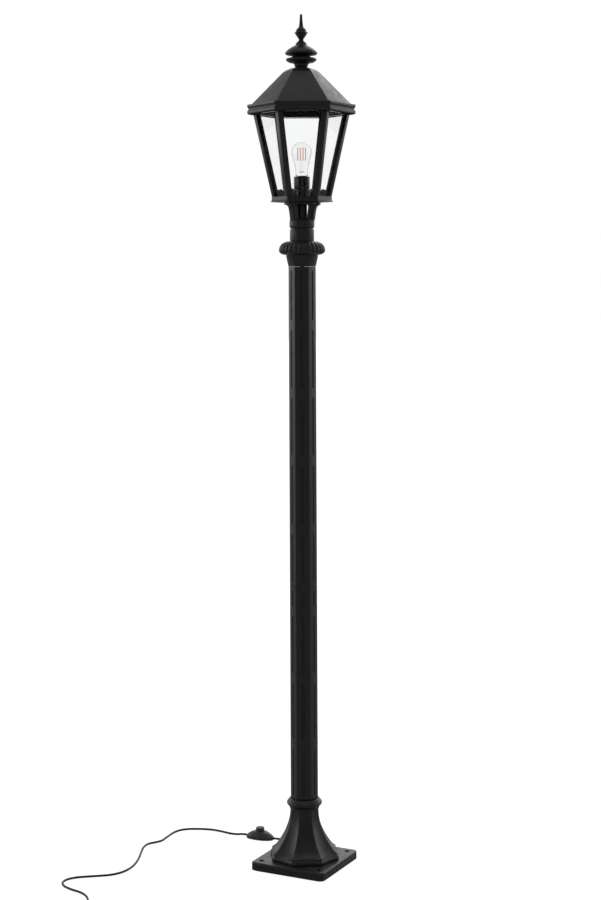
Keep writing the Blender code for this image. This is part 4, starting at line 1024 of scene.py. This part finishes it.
# %% [markdown]
# ## The foot switch
# The switch is a smooth oblong, a shallow tray under a domed cover, with a ribbed round button. Its
# outline is a superellipse, fuller than an ellipse, and the dome is a stack of ever smaller ones whose
# sizes come from a smooth curve through a few.

# %% Tray and dome
SWITCH_SPLIT, SWITCH_TOP, BUTTON_R, BUTTON_Z = 0.0060, 0.0178, 0.0104, (0.0115, 0.0268)


def superellipse(half_long, half_wide, power, count):
    """Points of an ellipse, pushed out towards its corners where power is below 1."""
    ring = []
    for k in range(count):
        c, s = cos(2 * pi * k / count), sin(2 * pi * k / count)
        x = half_long * abs(c) ** power * (1 if c > 0 else -1)
        y = half_wide * abs(s) ** power * (1 if s > 0 else -1)
        ring.append((x, y))
    return ring


def switch_ring(z, length, width):
    return [(x, y, z) for x, y in superellipse(length * SWITCH_HALF[0], width * SWITCH_HALF[1], 0.9, 64)]


def set_down(obj, matrix):
    obj.data.transform(matrix)
    return obj


TRAY_SIZES = [(0.90, 0.84, 0.0), (0.965, 0.94, 0.0008), (1.0, 1.0, 0.0026), (1.0, 1.0, SWITCH_SPLIT)]
tray_sizes, _ = smooth_route(TRAY_SIZES, 0.02)
switch_tray = skin("switch_tray", [switch_ring(z, a, b) for a, b, z in tray_sizes])
place(set_down(switch_tray, SWITCH), SWITCH_PLASTIC, "switch_plastic", ["switch_base"], sharp=40.0)

DOME_SIZES = [(0.99, 0.99, SWITCH_SPLIT + GAP), (0.97, 0.975, 0.0074), (0.91, 0.935, 0.0091),
              (0.82, 0.88, 0.0114), (0.70, 0.80, 0.0140), (0.58, 0.73, 0.0161), (0.47, 0.68, 0.0174),
              (0.42, 0.64, SWITCH_TOP), (0.30, 0.40, SWITCH_TOP + 0.0001)]
dome_sizes, _ = smooth_route(DOME_SIZES, 0.03)
switch_dome = skin("switch_dome", [switch_ring(min(z, SWITCH_TOP), a, b) for a, b, z in dome_sizes])
drilled(switch_dome, [cylinder_cutter(BUTTON_R + 0.0005, 0.0, 0.03)])
place(set_down(switch_dome, SWITCH), SWITCH_PLASTIC, "switch_plastic", ["switch_cover"], sharp=40.0)

# %% Button
low, high = BUTTON_Z
groove_r = BUTTON_R - 0.0005
button_line = [(0.0, low), (groove_r, low)]
for k in range(4):
    z = low + 0.0046 + 0.0014 * k
    button_line += [(BUTTON_R, z), (BUTTON_R, z + 0.0007), (groove_r, z + 0.0009), (groove_r, z + 0.0012)]
button_line += [(BUTTON_R, high - 0.0012), (BUTTON_R - 0.0012, high), (0.0062, high), (0.0058, high - 0.0004),
                (0.0, high - 0.0004)]
button = turned("switch_foot_button", button_line, 0.0003, count=56)
place(set_down(button, SWITCH), SWITCH_PLASTIC, "switch_plastic", ["switch_button"], "switch_button")
print("switch made")

# %% [markdown]
# ## Grip, plug and strap
# Where the flex leaves the base, a soft grip tapers down to it and is ribbed so that it bends in a wide
# curve. The plug is a two-pin moulding with a waist for the fingers, and a rubber strap holds the coil.

# %% Grip
GRIP_START, GRIP_RIBS = 0.0775, 7
grip_line = [(0.0, GRIP_START), (0.0041, GRIP_START), (0.0041, BASE_SIDE / 2 + 0.0025)]
for k in range(GRIP_RIBS):
    share = k / GRIP_RIBS
    s, r = BASE_SIDE / 2 + 0.0035 + share * 0.0205, 0.0041 - 0.0009 * share
    grip_line += [(r, s), (r, s + 0.0016), (r - 0.0007, s + 0.0019), (r - 0.0007, s + 0.0026)]
grip_line += [(0.0031, GLAND_TIP - 0.0012), (0.0031, GLAND_TIP), (0.0, GLAND_TIP)]
grip = turned("flex_grip", grip_line, 0.0002, count=32)
lay = Matrix.Translation((0.0, 0.0, SLOT_Z)) @ OUT.to_track_quat("Z", "Y").to_matrix().to_4x4()
place(set_down(grip, lay), RUBBER, "rubber", ["cord_gland"])

# %% Plug and strap
PLUG_LENGTH = 0.0360
PLUG_SIZES = [(0.0, 0.0038, 0.0038), (0.0050, 0.0040, 0.0040), (0.0100, 0.0048, 0.0046),
              (0.0135, 0.0088, 0.0060), (0.0180, 0.0140, 0.0066), (0.0240, 0.0168, 0.0062),
              (0.0290, 0.0166, 0.0062), (0.0330, 0.0175, 0.0067), (PLUG_LENGTH, 0.0174, 0.0067)]
plug_sizes, _ = smooth_route(PLUG_SIZES, 0.0008)


def plug_ring(s, half_wide, half_thick):
    ease = 0.97 if s in (plug_sizes[0][0], plug_sizes[-1][0]) else 1.0
    return [(s, y, z) for y, z in superellipse(half_wide * ease, half_thick, 0.6, 48)]


plug = skin("plug_moulding", [plug_ring(*size) for size in plug_sizes])
place(set_down(plug, Matrix.Translation(PLUG_REAR)), RUBBER, "rubber", ["plug_body"], sharp=45.0)

STRAP_WALL = 0.0009
low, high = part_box("coil_tie")


def strap_ring(wall, corner, y):
    """The strap's outline in an upright plane, this far in from the plain tie's own."""
    outline = oblong_ring(low.x + wall, high.x - wall, low.z + wall, high.z - wall, y, corner)
    return [(x, y, z) for x, z, _ in outline]


strap_rings = [strap_ring(0.0, 0.0020, low.y), strap_ring(0.0, 0.0020, high.y),
               strap_ring(STRAP_WALL, 0.0012, high.y), strap_ring(STRAP_WALL, 0.0012, low.y)]
strap = bevelled(skin("coil_strap", strap_rings, loop=True), 0.0002, 2, 50.0)
place(strap, RUBBER, "rubber", ["coil_tie"])
print("plug and strap made")

# %% [markdown]
# ## What stays as engineered
# The rest of the frame is already the right shape: rods, nuts, screws, the mat, the plug's pins and the
# holder's inside. Those nodes keep their meshes and only get their finishes. The bridge and stud, which
# show through the panes, are plated black so that they don't glint.

# %% Finishes for the frame's own nodes
KEPT = {RUBBER: ["base_mat"],
        BLACK_ZINC: ["roof_bridge", "roof_stud"],
        ZINC: ["column_coupler", "tie_rod", "tie_nut", "switch_spring",
               *(f"pedestal_screw_{k}" for k in range(1, 5))],
        JACKET: ["inner_flex"],
        PORCELAIN: ["holder_insert"],
        BRASS: ["thread_shell", "bulb_contact"],
        NICKEL: ["plug_pin_1", "plug_pin_2"]}
for material, names in KEPT.items():
    for name in names:
        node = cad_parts[name]
        node.data.materials.clear()
        node.data.materials.append(material)
print("kept nodes:", sum(len(names) for names in KEPT.values()))

# %% [markdown]
# ## The studio
# The lamp is lit for a white page: the backdrop is bright, the sides are lit by two screens, and the
# front is nearly dark, so the black paint stays black and only its edges and slanted faces shine. The
# world does that without lamps: soft lobes of light, each round a direction. What the eye sees straight
# or through glass is plain white, and what only lights the lamp or is mirrored in it is the lobes. The
# floor does the same with its own glow, and still darkens a little under the base.

# %% World
LOBES_OF_LIGHT = (((0.0, 1.0, 0.0), 3.0, 0.68),
                  ((-0.94, 0.34, 0.0), 6.0, 1.60),
                  ((0.94, 0.34, 0.0), 6.0, 1.10),
                  ((0.33, 0.80, 0.50), 14.0, 1.45),
                  ((0.0, -0.10, 1.0), 7.0, 0.56),
                  ((-0.87, -0.50, 0.0), 60.0, 0.90),
                  ((0.0, -1.0, 0.0), 6.0, 0.07))
DIM = 0.13


def straight_view(tree, turns_allowed):
    """1 for what is seen directly or through glass, and 0 for what only lights or is mirrored. The world
    counts one turn more than a surface does."""
    ray = tree.nodes.new("ShaderNodeLightPath")
    turns = calculate(tree, "SUBTRACT", ray.outputs["Ray Depth"], ray.outputs["Transmission Depth"])
    return calculate(tree, "LESS_THAN", turns, turns_allowed + 0.5)


world = bpy.data.worlds.new("studio")
bpy.context.scene.world = world
world.use_nodes = True
sky = world.node_tree
background = sky.nodes["Background"]
heading = sky.nodes.new("ShaderNodeTexCoord").outputs["Generated"]
total = None
for direction, tightness, strength in LOBES_OF_LIGHT:
    facing = sky.nodes.new("ShaderNodeVectorMath")
    facing.operation = "DOT_PRODUCT"
    facing.inputs[1].default_value = Vector(direction).normalized()
    sky.links.new(heading, facing.inputs[0])
    lobe = calculate(sky, "POWER", calculate(sky, "MAXIMUM", facing.outputs["Value"], 0.0), tightness)
    total = calculate(sky, "MULTIPLY_ADD", lobe, strength, DIM if total is None else total)
sky.links.new(calculate(sky, "MAXIMUM", total, straight_view(sky, 1)), background.inputs["Strength"])
background.inputs["Color"].default_value = (1.0, 1.0, 1.0, 1.0)
bpy.context.scene.view_settings.view_transform = "Standard"
print("lobes of light:", len(LOBES_OF_LIGHT))

# %% Floor
GLOW_SEEN, GLOW_ALWAYS = 0.86, 0.03

floor = skin("floor", [[(30 * cos(a), 30 * sin(a), z) for a in np.linspace(0, 2 * pi, 64, endpoint=False)]
                       for z in (-0.0220, -0.0001)])
paper = bpy.data.materials.new("pale_floor")
paper.use_nodes = True
tree = paper.node_tree
shader = tree.nodes["Principled BSDF"]
shader.inputs["Base Color"].default_value = (0.40, 0.40, 0.40, 1.0)
shader.inputs["Roughness"].default_value = 0.9
shader.inputs["Emission Color"].default_value = (1.0, 1.0, 1.0, 1.0)
glow = calculate(tree, "MULTIPLY_ADD", straight_view(tree, 0), GLOW_SEEN, GLOW_ALWAYS)
tree.links.new(glow, shader.inputs["Emission Strength"])
floor.data.materials.append(paper)
print("floor laid")
